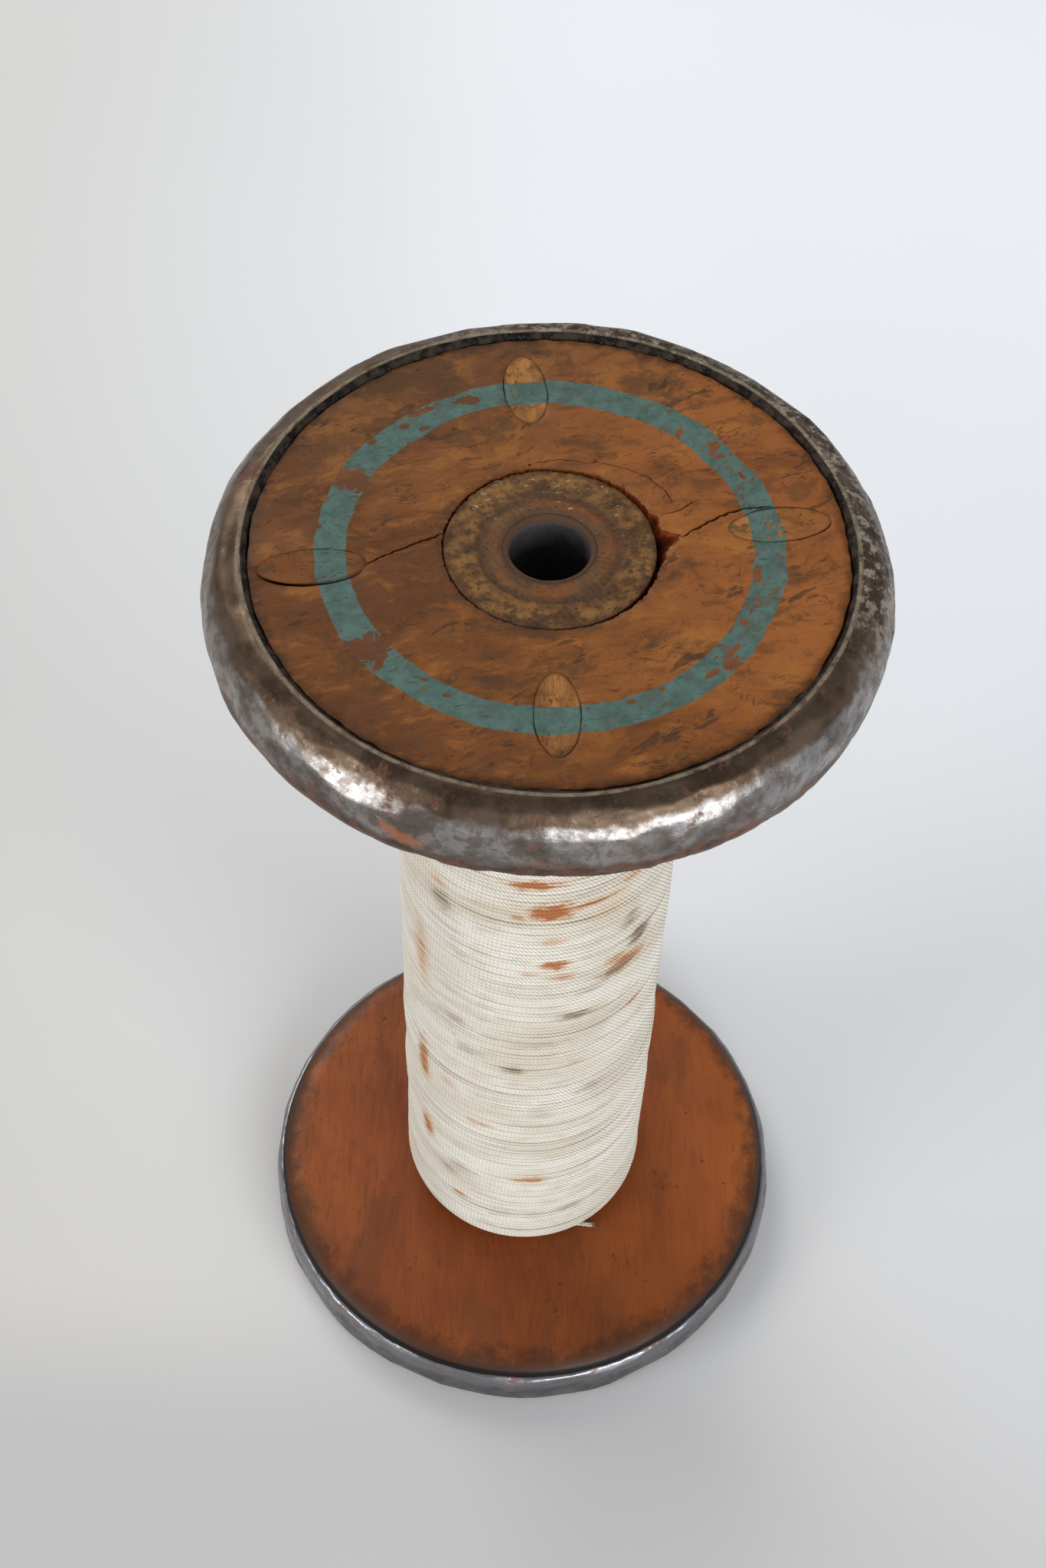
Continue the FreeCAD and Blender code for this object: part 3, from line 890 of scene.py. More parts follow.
# The hole for the tenon has opened where the wood split: angle and gap to the tenon.
HUB_GAPS = [
    (-180, 0.32), (-120, 0.22), (-75, 0.26), (-60, 0.40), (-45, 0.7), (-34, 0.9), (-22, 1.0),
    (-10, 1.1), (-3, 1.6), (2, 2.3), (5.5, 3.4), (8.5, 4.5), (10.5, 5.3), (12, 4.4), (13.5, 2.7),
    (16, 1.5), (18, 1.4), (21, 1.9), (24, 2.3), (26, 1.8), (28, 1.1), (36, 1.0), (50, 1.0),
    (62, 0.85), (78, 0.6), (92, 0.40), (104, 0.75), (114, 0.55), (126, 0.38), (150, 0.34),
    (180, 0.32),
]


def hub_hole(angles, split):
    """The radius of the head's hole at its face."""
    turns = (np.degrees(angles) + 180) % 360 - 180
    ring = at_depth(ring_points(angles, HEAD_HOLE_RADIUS))
    rough = 0.05 * waves(7, 1.1)(ring) + 0.05 * waves(8, 3.0)(ring)
    if not split:
        return HEAD_HOLE_RADIUS + 0.12 + rough
    gap = np.interp(turns, *zip(*HUB_GAPS))
    return TENON_RADIUS + gap + rough * (1 + gap)


# The head's split, from the hub to the dowels, as x, y points of its line, its width and depth.
SPLITS = [
    ([(-21.8, 2.3), (-25.2, 0.2), (-29.6, -2.4), (-33.2, -4.6), (-36.4, -7.0), (-38.6, -8.7)],
     0.66, 2.2),
    ([(26.3, 4.6), (29.9, 7.3), (33.2, 9.9), (36.5, 12.0), (39.8, 13.3), (44.6, 14.0)], 0.70, 2.2),
    ([(22.9, 10.3), (24.6, 10.9), (26.2, 11.6), (27.8, 13.2), (29.6, 14.6)], 0.36, 1.4),
    ([(51.6, 13.2), (53.4, 12.2), (54.6, 10.3), (55.2, 8.2)], 0.22, 0.6),
    ([(50.2, 9.0), (51.6, 10.6), (51.2, 12.6)], 0.20, 0.6),
    ([(9.0, 24.0), (14.6, 22.9), (19.4, 20.3), (22.8, 16.6), (24.4, 13.6)], 0.24, 0.8),
    ([(-4.5, 22.6), (-1.0, 24.0), (3.4, 24.4), (7.6, 23.6)], 0.26, 0.7),
]


class Split:
    """One crack: a groove that follows a line and narrows to nothing at its ends."""

    def __init__(self, corners, width, depth, seed):
        """Draws a jagged line through the corners."""
        corners = np.array(corners)
        along = distance_along(corners)
        count = int(along[-1] / 0.45)
        places = np.linspace(0, along[-1], count)
        line = np.column_stack([np.interp(places, along, corners[:, 0]),
                                np.interp(places, along, corners[:, 1])])
        tangent = unit(np.gradient(line, axis=0))
        self.sideways = np.column_stack([-tangent[:, 1], tangent[:, 0]])
        jagged = waves(seed, 2.0)(at_depth(line))
        self.line = line + self.sideways * 0.10 * jagged[:, None]
        taper = np.minimum(1, np.minimum(places, along[-1] - places) / 2.5 + 0.35)
        self.half_width = width / 2 * taper * (1 + 0.15 * np.roll(jagged, 3))
        self.depth = depth

    def lines(self):
        """The groove's two edges and its middle."""
        offset = self.sideways * self.half_width[:, None]
        return [self.line + offset, self.line, self.line - offset]

    def depth_at(self, points):
        """How deep the groove is under each point."""
        distance = np.linalg.norm(points[:, None, :] - self.line[None, :, :], axis=2)
        nearest = distance.argmin(axis=1)
        start = self.line[np.maximum(nearest - 1, 0)]
        end = self.line[np.minimum(nearest + 1, len(self.line) - 1)]
        way = unit(end - start)
        offset = points - self.line[nearest]
        along = (offset * way).sum(axis=1)
        across = np.abs(offset[:, 0] * way[:, 1] - offset[:, 1] * way[:, 0])
        reach = np.hypot(across, np.maximum(np.abs(along) - 0.4, 0))
        return self.depth * np.clip(1 - reach / self.half_width[nearest], 0, 1)


def inside(loop, points):
    """Which points lie inside a closed loop, by the even-odd rule."""
    x0, y0 = loop.T
    x1, y1 = np.roll(loop, -1, axis=0).T
    found = []
    for part in np.array_split(points, 12):
        x, y = part[:, :1], part[:, 1:]
        crosses = (y0 > y) != (y1 > y)
        rise = np.where(y1 == y0, 1e-9, y1 - y0)
        found.append(((x < x0 + (y - y0) * (x1 - x0) / rise) & crosses).sum(axis=1) % 2 == 1)
    return np.concatenate(found)


def hexagonal_grid(radius, spacing):
    """Evenly spaced points of a square that holds a circle of this radius."""
    rows = np.arange(-radius, radius, spacing * math.sqrt(3) / 2)
    across = np.arange(-radius, radius, spacing)
    grid = [np.column_stack([across + spacing / 2 * (number % 2), np.full(len(across), row)])
            for number, row in enumerate(rows)]
    return np.concatenate(grid)


def filled(loops, lines, spacing):
    """Triangles that fill the first loop less the others, with lines as edges between them.

    Returns the points, the triangles and each loop's point numbers.
    """
    fixed = np.concatenate(loops + lines)
    grid = hexagonal_grid(END_FACE_RADIUS + 8, spacing)
    kept = inside(loops[0], grid)
    for loop in loops[1:]:
        kept &= ~inside(loop, grid)
    grid = grid[kept]
    gaps = np.concatenate([np.linalg.norm(part[:, None] - fixed[None], axis=2).min(axis=1)
                           for part in np.array_split(grid, 30)])
    grid = grid[gaps > spacing * 0.45]
    points = np.concatenate([fixed, grid])
    edges, start = [], 0
    for number, path in enumerate(loops + lines):
        ends = list(range(start, start + len(path)))
        edges += list(zip(ends, ends[1:]))
        if number < len(loops):
            edges.append((ends[-1], ends[0]))
        start += len(path)
    found = delaunay_2d_cdt([Vector(p) for p in points], edges, [], 0, 1e-7)
    flat = np.array([tuple(p) for p in found[0]])
    triangles = np.array(found[2])
    centres = flat[triangles].mean(axis=1)
    kept = inside(loops[0], centres)
    for loop in loops[1:]:
        kept &= ~inside(loop, centres)
    new_number = {old: new for new, olds in enumerate(found[3]) for old in olds}
    numbers, start = [], 0
    for loop in loops:
        numbers.append(np.array([new_number[i] for i in range(start, start + len(loop))]))
        start += len(loop)
    return flat, triangles[kept], numbers


# The angles of the points of the ply's outline, of the tenon's hole and of a dowel's oval.
RIM_ANGLES = circle(600)
HUB_ANGLES = circle(720)
OVAL_ANGLES = circle(200)


def ply_loops(depth, split, widened):
    """The ply's outline, the tenon's hole and the four dowel holes at a depth.

    widened holes have the gaps that show at the face.
    """
    worn = 0.12 * waves(3, 5)(at_depth(ring_points(RIM_ANGLES, 60)))
    hub_radius = hub_hole(HUB_ANGLES, split) if widened else HEAD_HOLE_RADIUS + 0.1
    loops = [ring_points(RIM_ANGLES, END_FACE_RADIUS + worn), ring_points(HUB_ANGLES, hub_radius)]
    for index, dowel in enumerate(DOWELS):
        gap = dowel_gap(index, OVAL_ANGLES, split and widened)
        inwards = (depth - FACE_DEPTH) / math.tan(math.radians(dowel[2]))
        loops.append(ellipse_on_face(dowel, OVAL_ANGLES, gap, inwards))
    return loops


def eased(loop, grow):
    """A closed line outside a loop, where the wood's rounded edge starts."""
    wider = (loop + grow * unit(loop - loop.mean(axis=0)))[::2]
    return np.vstack([wider, wider[:1]])


def worn_face(shape, loops, split):
    """Adds the end face inside the first loop, with holes, rounded edges and the split.

    Returns the numbers of each loop's points. The per-point value is 1 at the bottom of a crack,
    where the material paints shade.
    """
    splits = [Split(*one, seed=60 + number) for number, one in enumerate(SPLITS)] if split else []
    lines = [line for one in splits for line in one.lines()]
    grows = [-0.5] + [0.3] * (len(loops) - 1)
    rounded = [eased(loop, grow) for loop, grow in zip(loops, grows)]
    flat, triangles, numbers = filled(loops, rounded + lines, 1.25)
    place = at_depth(flat)
    depth = FACE_DEPTH + 0.12 + 0.06 * waves(5, 24)(place) + 0.03 * waves(6, 5)(place)
    shade_and_raw = np.zeros(len(flat))
    for one in splits:
        cut = one.depth_at(flat)
        depth += cut
        shade_and_raw = np.maximum(shade_and_raw, np.clip(cut * 1.6, 0, 1))
    for number, ring in enumerate(numbers):
        tight = split and number == TIGHT_DOWEL + 2
        flush = 1 - window(np.degrees(OVAL_ANGLES) % 360, 10, 160, 15) if tight else 0
        depth[ring] += 0.16 - 0.14 * flush
    face = shape.add(at_depth(flat, depth), shade_and_raw)
    shape.faces += (triangles + face[0]).tolist()
    return [face[ring] for ring in numbers]


def outer_ply(head, material):
    """The ply with the end face: worn, with holes for the tenon and dowels, and on the upper
    head the split that runs across it."""
    split = head == "upper"
    shape = Shape()
    loops = ply_loops(FACE_DEPTH, split, True)
    face = worn_face(shape, loops, split)

    glued = [ring_points(RIM_ANGLES, OUTER_PLY_RADIUS)] + ply_loops(GLUE_DEPTH, split, False)[1:]
    flat, triangles, numbers = filled(glued, [], 5.0)
    # The glued face takes 0.6, so the walls of the holes darken towards it as painted shade.
    added = shape.add(at_depth(flat, GLUE_DEPTH), 0.6)
    shape.faces += (triangles[:, ::-1] + added[0]).tolist()
    back = [added[ring] for ring in numbers]

    rebate = [(END_FACE_RADIUS, REBATE_DEPTH - 0.3), (END_FACE_RADIUS + 0.3, REBATE_DEPTH),
              (REBATE_RADIUS, REBATE_DEPTH)]
    outside = [shape.add(ring) for ring in turned_grid(rebate, len(RIM_ANGLES))]
    hub = loops[1]
    beyond = np.linalg.norm(hub, axis=1, keepdims=True) / HEAD_HOLE_RADIUS - 1
    torn = []
    for drop, narrowing in ((0.5, 0.02), (2.2, 0.25)):
        # raw is 2 where the wood is freshly broken.
        torn.append(shape.add(at_depth(hub * (1 - narrowing * beyond), FACE_DEPTH + drop), 2.0))
    shape.tube([face[0]] + outside + [back[0]])
    shape.tube([face[1]] + torn + [back[1]])
    for front_ring, back_ring in zip(face[2:], back[2:]):
        shape.strip(front_ring, back_ring)
    return shape.piece(head + "_face_ply", material, head + "_outer_ply", head)


def dowel_pegs(head, material):
    """The four slanted dowels, trimmed flush with the end face and slightly worn."""
    shape = Shape()
    ring = circle(96)
    for index, dowel in enumerate(DOWELS):
        angle, face_radius, slant = math.radians(dowel[0]), dowel[1], math.radians(dowel[2])
        outwards = np.array([math.cos(angle), math.sin(angle), 0])
        sideways = np.array([-outwards[1], outwards[0], 0])
        down = np.array([0, 0, 1.0])
        way = down * math.sin(slant) - outwards * math.cos(slant)
        across = outwards * math.sin(slant) + down * math.cos(slant)
        run = (face_radius - DOWEL_TIP_RADIUS) / math.cos(slant)
        start = outwards * face_radius + down * FACE_DEPTH
        worn = waves(80 + index, 6.0)
        rows = []
        for share in np.linspace(0.06, 0.985, 14):
            flat = ellipse_on_face(dowel, ring) - outwards[:2] * face_radius
            flat = flat * share + outwards[:2] * face_radius
            tight = head == "upper" and index == TIGHT_DOWEL
            edge = (0.0 if tight else 0.10) * smooth(share, 0.9, 0.985)
            rows.append(at_depth(flat, FACE_DEPTH + 0.16 + edge + 0.06 * worn(at_depth(flat))))
        radial = DOWEL_RADIUS * (np.outer(np.cos(ring), across) + np.outer(np.sin(ring), sideways))
        to_face = -radial[:, 2] / way[2]
        for drop in (0.35, 0.9):
            rows.append(start + radial + np.outer(to_face + drop / way[2], way))
        for share in (0.35, 0.7):
            reach = to_face * (1 - share) + run * share
            rows.append(start + radial + np.outer(reach, way))
        for shrink, back in ((1.0, 0.5), (0.93, 0.12), (0.75, 0.0)):
            rows.append(start + radial * shrink + way * (run - back))
        grid = np.stack(rows)
        # The per-point value paints shade on the worn edge of the face and on everything below it,
        # in the gap round the dowel.
        shade_and_raw = np.repeat(np.concatenate([np.zeros(13), [0.6], np.ones(len(rows) - 14)]), len(ring))
        numbers = shape.rings(grid, shade_and_raw, closed=False)
        shape.fan(numbers[0], rows[0].mean(axis=0))
        shape.fan(numbers[-1][::-1], rows[-1].mean(axis=0), 1.0)
    return shape.piece(head + "_dowels", material, head + "_locking_dowels", head)


# ---- Barrel and bushes -----------------------------------------------------------------

def end_section(depth_of_face):
    """The barrel's end from its bush seat outwards, as (radius, depth) points."""
    seat = BUSH_RADIUS + 0.05
    face = depth_of_face
    corners = [(seat, face + 3.0, 2), (seat, face + 0.4, 3), (seat + 0.7, face + 0.10, 6),
               (12.4, face + 0.05, 3), (13.3, face + 0.45, 3), (14.3, face + 0.5, 3),
               (15.1, face + 0.16, 18), (20.6, face + 0.1, 4), (21.2, face + 0.3, 2),
               (TENON_RADIUS, face + 0.7, 8), (TENON_RADIUS, BARREL_SIDE_DEPTH, 1)]
    path = []
    for (radius, depth, count), (next_radius, next_depth, _) in zip(corners, corners[1:]):
        path.append(straight((radius, depth), (next_radius, next_depth), count))
    return np.concatenate(path)


def barrel(material):
    """The turned barrel, with the marks of turning and wear on both of its end faces."""
    low_end = end_section(FACE_DEPTH)
    high_end = low_end[::-1] * (1, -1) + (0, HEIGHT)
    section = np.concatenate([
        low_end,
        [(TENON_RADIUS, BARREL_SIDE_DEPTH), (BARREL_RADIUS, BARREL_SIDE_DEPTH),
         (BARREL_RADIUS, HEIGHT - BARREL_SIDE_DEPTH), (TENON_RADIUS, HEIGHT - BARREL_SIDE_DEPTH)],
        high_end,
        [(BUSH_RADIUS + 0.05, HEIGHT - BUSH_END), (BORE_RADIUS, HEIGHT - BUSH_END),
         (BORE_RADIUS, BUSH_END), (BUSH_RADIUS + 0.05, BUSH_END)],
    ])
    grid = turned_grid(section, 420)
    flat = grid.reshape(-1, 3)
    depth = np.minimum(flat[:, 2], HEIGHT - flat[:, 2])
    radius = np.hypot(flat[:, 0], flat[:, 1])
    near_face = (depth < FACE_DEPTH + 1.5) & (radius > BUSH_RADIUS + 0.2)
    angle = np.degrees(np.arctan2(flat[:, 1], flat[:, 0]))
    lumps = 0.09 * waves(21, 5.0)(flat) + 0.05 * waves(22, 1.7)(flat)
    ragged_part = 0.25 + window(angle, 95, 165, 20)
    ragged = 0.16 * ragged_part * waves(23, 1.3)(flat) * smooth(radius, 19.5, TENON_RADIUS)
    towards_barrel = np.where(flat[:, 2] < HEIGHT / 2, 1.0, -1.0)
    flat[:, 2] += near_face * towards_barrel * np.maximum(lumps + 0.8 * np.abs(ragged), -0.1)
    shrink = 1 - near_face * np.maximum(0.6 * ragged, 0) / radius
    flat[:, :2] *= shrink[:, None]
    # raw is 1 on the tenon's side, which shows through the gap round it.
    side = smooth(radius, TENON_RADIUS - 0.3, TENON_RADIUS - 0.02)
    shape = Shape()
    shape.rings(flat.reshape(grid.shape), side)
    return shape.piece("turned_barrel", material, "barrel")


def bush(head, material):
    """The steel lining of one end of the bore, with a rounded, worn mouth."""
    inner, outer = BUSH_BORE_RADIUS, BUSH_RADIUS
    mouth = quarter((inner + 0.7, BUSH_START + 0.8), 0.7, 0.8, 180, 7)
    section = np.concatenate([
        mouth, [(outer - 0.03, BUSH_START), (outer, BUSH_START + 0.03), (outer, BUSH_END),
                (inner + 0.2, BUSH_END), (inner, BUSH_END - 0.2)],
        straight((inner, BUSH_END - 0.2), (inner, BUSH_START + 0.8), 12)[1:],
    ])
    grid = turned_grid(section, 180)
    wear = 0.05 * waves(31, 4.0)(grid) * (grid[:, :, 2] < BUSH_START + 1)
    grid[:, :, 2] += np.maximum(wear, 0)
    shape = Shape()
    shape.rings(grid)
    return shape.piece(head + "_bush", material, head + "_bore_bush", head)


# ---- Steel rims ------------------------------------------------------------------------

# Flats hammered into the rims by knocks: angle round the axis, tilt of the flat towards the
# end of the spool, and how far it is pressed in.
UPPER_FLATS = [
    (-139, 46, 0.40), (-133, 33, 0.55), (-127, 50, 0.45), (-122, 36, 0.60), (-116, 46, 0.55),
    (-110, 30, 0.45), (-104, 12, 0.40), (-98, 38, 0.30), (-80, 44, 0.30), (-70, 24, 0.35),
    (-61, 36, 0.45), (-54, 20, 0.40), (-46, 42, 0.45), (-38, 28, 0.50), (-29, 12, 0.45),
    (-19, 40, 0.45), (-8, 22, 0.50), (3, 44, 0.25), (13, 16, 0.25), (24, 38, 0.28),
    (34, 20, 0.25), (46, 42, 0.30), (57, 22, 0.28), (67, 48, 0.25), (79, 26, 0.25),
    (91, 40, 0.28), (104, 18, 0.25), (114, 44, 0.30), (127, 24, 0.30), (138, 42, 0.30),
    (149, 16, 0.28), (160, 36, 0.30), (171, 14, 0.25), (181, 34, 0.28), (191, 18, 0.28),
    (201, 38, 0.25), (210, 8, 0.50), (216, 26, 0.50), (-90, 6, 0.35), (-64, 4, 0.45),
    (-128, 8, 0.50), (-40, 2, 0.45), (60, 2, 0.25), (120, 0, 0.25),
]
LOWER_FLATS = [
    (-146, -30, 0.30), (-131, -8, 0.45), (-118, -40, 0.30), (-104, -14, 0.40), (-90, -34, 0.25),
    (-78, -6, 0.40), (-66, -38, 0.30), (-55, -12, 0.45), (-42, -32, 0.30), (-28, -4, 0.45),
    (-8, -25, 0.40), (18, -6, 0.45), (44, -28, 0.40), (72, -8, 0.45), (98, -30, 0.40),
    (126, -6, 0.45), (152, -26, 0.40), (178, -8, 0.45), (-166, -12, 0.45), (-112, 20, 0.45),
    (-60, 24, 0.45), (0, 22, 0.45), (60, 24, 0.45), (120, 20, 0.45), (180, 22, 0.45),
]


def flattened(points, flats):
    """Points of a rim, in depth, with each flat pressed into them."""
    for angle, tilt, press in flats:
        turn, rise = math.radians(angle), math.radians(tilt)
        way = np.array([math.cos(turn) * math.cos(rise), math.sin(turn) * math.cos(rise),
                        -math.sin(rise)])
        reach = points @ way
        over = np.maximum(reach - (reach.max() - press), 0)
        points = points - over[..., None] * way
    return points


def creased(section, tilt, press):
    """How far in a cone with this tilt presses each point of a section: a long flat."""
    rise = math.radians(tilt)
    reach = section[:, 0] * math.cos(rise) - section[:, 1] * math.sin(rise)
    return np.maximum(reach - (reach.max() - press), 0)


def rim_centre_line(shoulder_width, shoulder_drop, wall_end, crimp, rim_depth):
    """The middle of the rim's sheet, from its curled lip to its crimped edge."""
    half = SHEET / 2
    lip = LIP_RADIUS + half
    curl = 0.9
    crest_end = RIM_RADIUS - shoulder_width
    wall = RIM_RADIUS - half
    return np.concatenate([
        straight((lip, REBATE_DEPTH - 1.0), (lip, half + curl), 3),
        quarter((lip + curl, half + curl), curl, curl, 180, 7)[:-1],
        straight((lip + curl, half), (crest_end, half), 3),
        quarter((crest_end, shoulder_drop), wall - crest_end, shoulder_drop - half, 270, 24)[:-1],
        straight((wall, shoulder_drop), (wall, wall_end), 5),
        quarter((wall - crimp, wall_end), crimp, rim_depth - half - wall_end, 0, 9),
    ])


# The two long flats that leave a ridge round the upper rim's shoulder: tilt and depth.
SHOULDER_FLATS = [(64, 0.40), (35, 0.35)]


def steel_rim(head, material, line, crumpled, flats, seed):
    """A hoop of sheet steel that years of knocks have dented. crumpled is for its crimp."""
    tangent = unit(np.gradient(line, axis=0))
    normal = np.column_stack([tangent[:, 1], -tangent[:, 0]])
    along = distance_along(line)[:, None]
    angles = circle(900)
    flat = turned_grid(line, len(angles)).reshape(-1, 3)
    worn = 0.14 * waves(seed, 34)(flat) + 0.07 * waves(seed + 1, 12)(flat)
    worn += 0.03 * waves(seed + 2, 4.5)(flat)
    inwards = worn.reshape(len(line), len(angles))
    if head == "upper":
        rim = at_depth(ring_points(angles, RIM_RADIUS))
        for number, (tilt, press) in enumerate(SHOULDER_FLATS):
            varied = np.clip(1 + 0.45 * waves(seed + 7 + number, 40)(rim), 0.3, 1.6)
            inwards = inwards + creased(line, tilt, press)[:, None] * varied
    edge = 0.35 + 0.65 * smooth(along, 0, 4) * (1 - smooth(along, along[-1] - 3, along[-1]))
    inwards = inwards * edge
    lip_wave = 0.16 * waves(seed + 3, 16)(flat) + 0.05 * waves(seed + 4, 5)(flat)
    lip_wave = lip_wave.reshape(inwards.shape) * (1 - smooth(along, 0.5, 4.0))
    crimp_wave = 0.26 * waves(seed + 5, 11)(flat) + 0.12 * waves(seed + 6, 4)(flat)
    crimp_wave = crimp_wave.reshape(inwards.shape) * smooth(along, along[-1] - 4, along[-1])
    crimp_wave = crimp_wave * crumpled
    radius = line[:, :1] - normal[:, :1] * inwards + lip_wave - 0.5 * np.abs(crimp_wave)
    depth = line[:, 1:] - normal[:, 1:] * inwards + 0.6 * crimp_wave
    middle = np.stack([radius * np.cos(angles), radius * np.sin(angles), depth], axis=2)
    middle = flattened(middle, flats)
    half = SHEET / 2

    def side(offset, rows):
        """One face of the sheet, offset from its middle."""
        out = np.stack([normal[rows, :1] * np.cos(angles), normal[rows, :1] * np.sin(angles),
                        np.broadcast_to(normal[rows, 1:], (len(rows), len(angles)))], axis=2)
        face = middle[rows] + out * offset
        face[:, :, 2] = np.maximum(face[:, :, 2], 0.0)
        return face

    rows = np.arange(len(line))
    shape = Shape()
    shape.rings(np.concatenate([side(half, rows), side(-half, rows[::-1])]))
    return shape.piece(head + "_rim", material, head + "_steel_rim", head)


# ---- Cord ------------------------------------------------------------------------------

ROW_PITCH = 1.41
SIDES = 8
STEPS_PER_TURN = 72


def winding_path():
    """The line that the cord's centre follows in section, from the lower head up."""
    near_head = 27.3
    rounding = 7.0
    low, high = WINDING_LOW + 0.75, WINDING_HIGH - 0.75
    step = 1.8 - 0.75
    outer = WINDING_RADIUS - CORD_RADIUS
    rise = quarter((near_head, low + step + rounding), outer - near_head, rounding, 270, 30)
    fall = rise[::-1] * (1, -1) + (0, low + high)
    return np.concatenate([[(near_head, low)], rise, fall, [(near_head, high)]])


def gaps_between_rows(distance, angle, length, chance):
    """How far rows are pushed along the winding, and sunk, by the gaps that open among them."""
    push = np.zeros(len(distance))
    sink = np.zeros(len(distance))
    place = 4.0
    while place < length - 4:
        tilt = chance.uniform(0.3, 2.4)
        towards = chance.uniform(0, 2 * math.pi)
        width = chance.uniform(0.08, 0.48)
        opens = chance.uniform(0, 2 * math.pi)
        edge = place + tilt * np.sin(angle - towards)
        opening = width * np.clip(0.30 + 0.85 * np.sin(angle - opens)
                                  + 0.4 * np.sin(2 * angle + towards), 0.0, 1.3)
        offset = distance - edge
        push += 0.5 * opening * np.tanh(offset / 0.30) * np.exp(-np.abs(offset) / 2.6)
        sink += opening * np.exp(-(offset / 0.9) ** 2)
        place += ROW_PITCH * chance.uniform(1.3, 3.4)
    return push, sink


def cord_winding(material):
    """The outer layer of cord: one long helix whose rows crowd and part like a real winding."""
    path = winding_path()
    along = distance_along(path)
    length = along[-1]
    turns = int(length / ROW_PITCH)
    count = turns * STEPS_PER_TURN + 1
    turn = np.arange(count) / STEPS_PER_TURN
    angle = 2 * math.pi * turn + math.pi / 2
    distance = turn * length / turns
    chance = np.random.default_rng(12)
    push, sink = gaps_between_rows(distance, angle, length, chance)
    calm = 0.4 + 0.6 * smooth(np.interp(distance, along, path[:, 1]), 40, 95)
    push, sink = push * calm, sink * calm
    own = np.outer(turn * 10, (1, 0, 0))
    push += 0.05 * waves(51, 9.0)(own)
    lift = 0.06 * waves(52, 7.0)(own) - 0.08 * sink
    lift += 0.16 * waves(53, 30.0)(at_depth(ring_points(angle, 8), distance))
    radius = np.interp(distance, along, path[:, 0])
    height = np.interp(distance, along, path[:, 1])
    ahead = unit(np.gradient(np.column_stack([radius, height]), axis=0))
    out = np.column_stack([ahead[:, 1], -ahead[:, 0]])
    near_end = smooth(np.minimum(distance, length - distance), 0, 6.0)
    push = push * near_end
    lift = lift * near_end
    radius = radius + ahead[:, 0] * push + out[:, 0] * lift
    height = height + ahead[:, 1] * push + out[:, 1] * lift
    corner = circle(SIDES) + math.pi / SIDES
    thick = 1.02 * CORD_RADIUS * np.cos(corner)
    wide = 1.06 * CORD_RADIUS * np.sin(corner)
    ring_radius = radius[:, None] + out[:, :1] * thick + ahead[:, :1] * wide
    ring_height = height[:, None] + out[:, 1:] * thick + ahead[:, 1:] * wide
    grid = np.stack([ring_radius * np.cos(angle)[:, None], ring_radius * np.sin(angle)[:, None],
                     ring_height], axis=2)
    shape = Shape()
    # The per-point value is how far the cord is sunk; its material darkens sunk rows into lines of
    # dirt and painted shade.
    numbers = shape.rings(grid, np.repeat(sink, SIDES), closed=False)
    shape.fan(numbers[0], grid[0].mean(axis=0))
    shape.fan(numbers[-1][::-1], grid[-1].mean(axis=0))
    travelled = distance / ROW_PITCH * 2 * math.pi * WINDING_RADIUS
    uv = cord_uv(travelled, SIDES)
    return shape.piece("wound_cord", material, "cord_winding", uv=uv)


def cord_uv(travelled, sides):
    """UVs for a tube and its two end fans: distance along the cord, and turns round it."""
    rows = len(travelled) - 1
    around = np.arange(sides) / sides
    start, end = travelled[:-1], travelled[1:]
    quads = np.empty((rows, sides, 4, 2))
    for corner, (u, step) in enumerate([(start, 0), (start, 1), (end, 1), (end, 0)]):
        quads[:, :, corner, 0] = u[:, None]
        quads[:, :, corner, 1] = around + step / sides
    fans = np.zeros((2 * sides, 3, 2))
    fans[sides:, :, 0] = travelled[-1]
    return np.concatenate([quads.reshape(-1, 2), fans.reshape(-1, 2)])


def inner_layers(material):
    """The layers of cord under the outer one, with a ridge for each of their rows."""
    path = winding_path()
    along = distance_along(path)
    places = np.arange(0, along[-1], ROW_PITCH / 5)
    radius = np.interp(places, along, path[:, 0]) - 1.05
    height = np.interp(places, along, path[:, 1])
    radius = radius + 0.16 * np.cos(2 * math.pi * places / ROW_PITCH)
    inner = BARREL_RADIUS + 0.05
    outside = np.column_stack([np.maximum(radius, inner + 0.1), height])
    section = np.concatenate([outside, [(inner, height[-1]), (inner, height[0])]])
    grid = turned_grid(section, 96)
    shape = Shape()
    shape.rings(grid)
    rows, columns = grid.shape[:2]
    uv = np.zeros((rows * columns, 4, 2))
    share = np.arange(columns) * 2 * math.pi * WINDING_RADIUS / columns
    wide = 2 * math.pi * WINDING_RADIUS / columns
    for corner, step in enumerate((0, 1, 1, 0)):
        uv[:, corner, 0] = np.tile(share + step * wide, rows)
    return shape.piece("inner_cord_layers", material, "cord_winding", uv=uv.reshape(-1, 2))


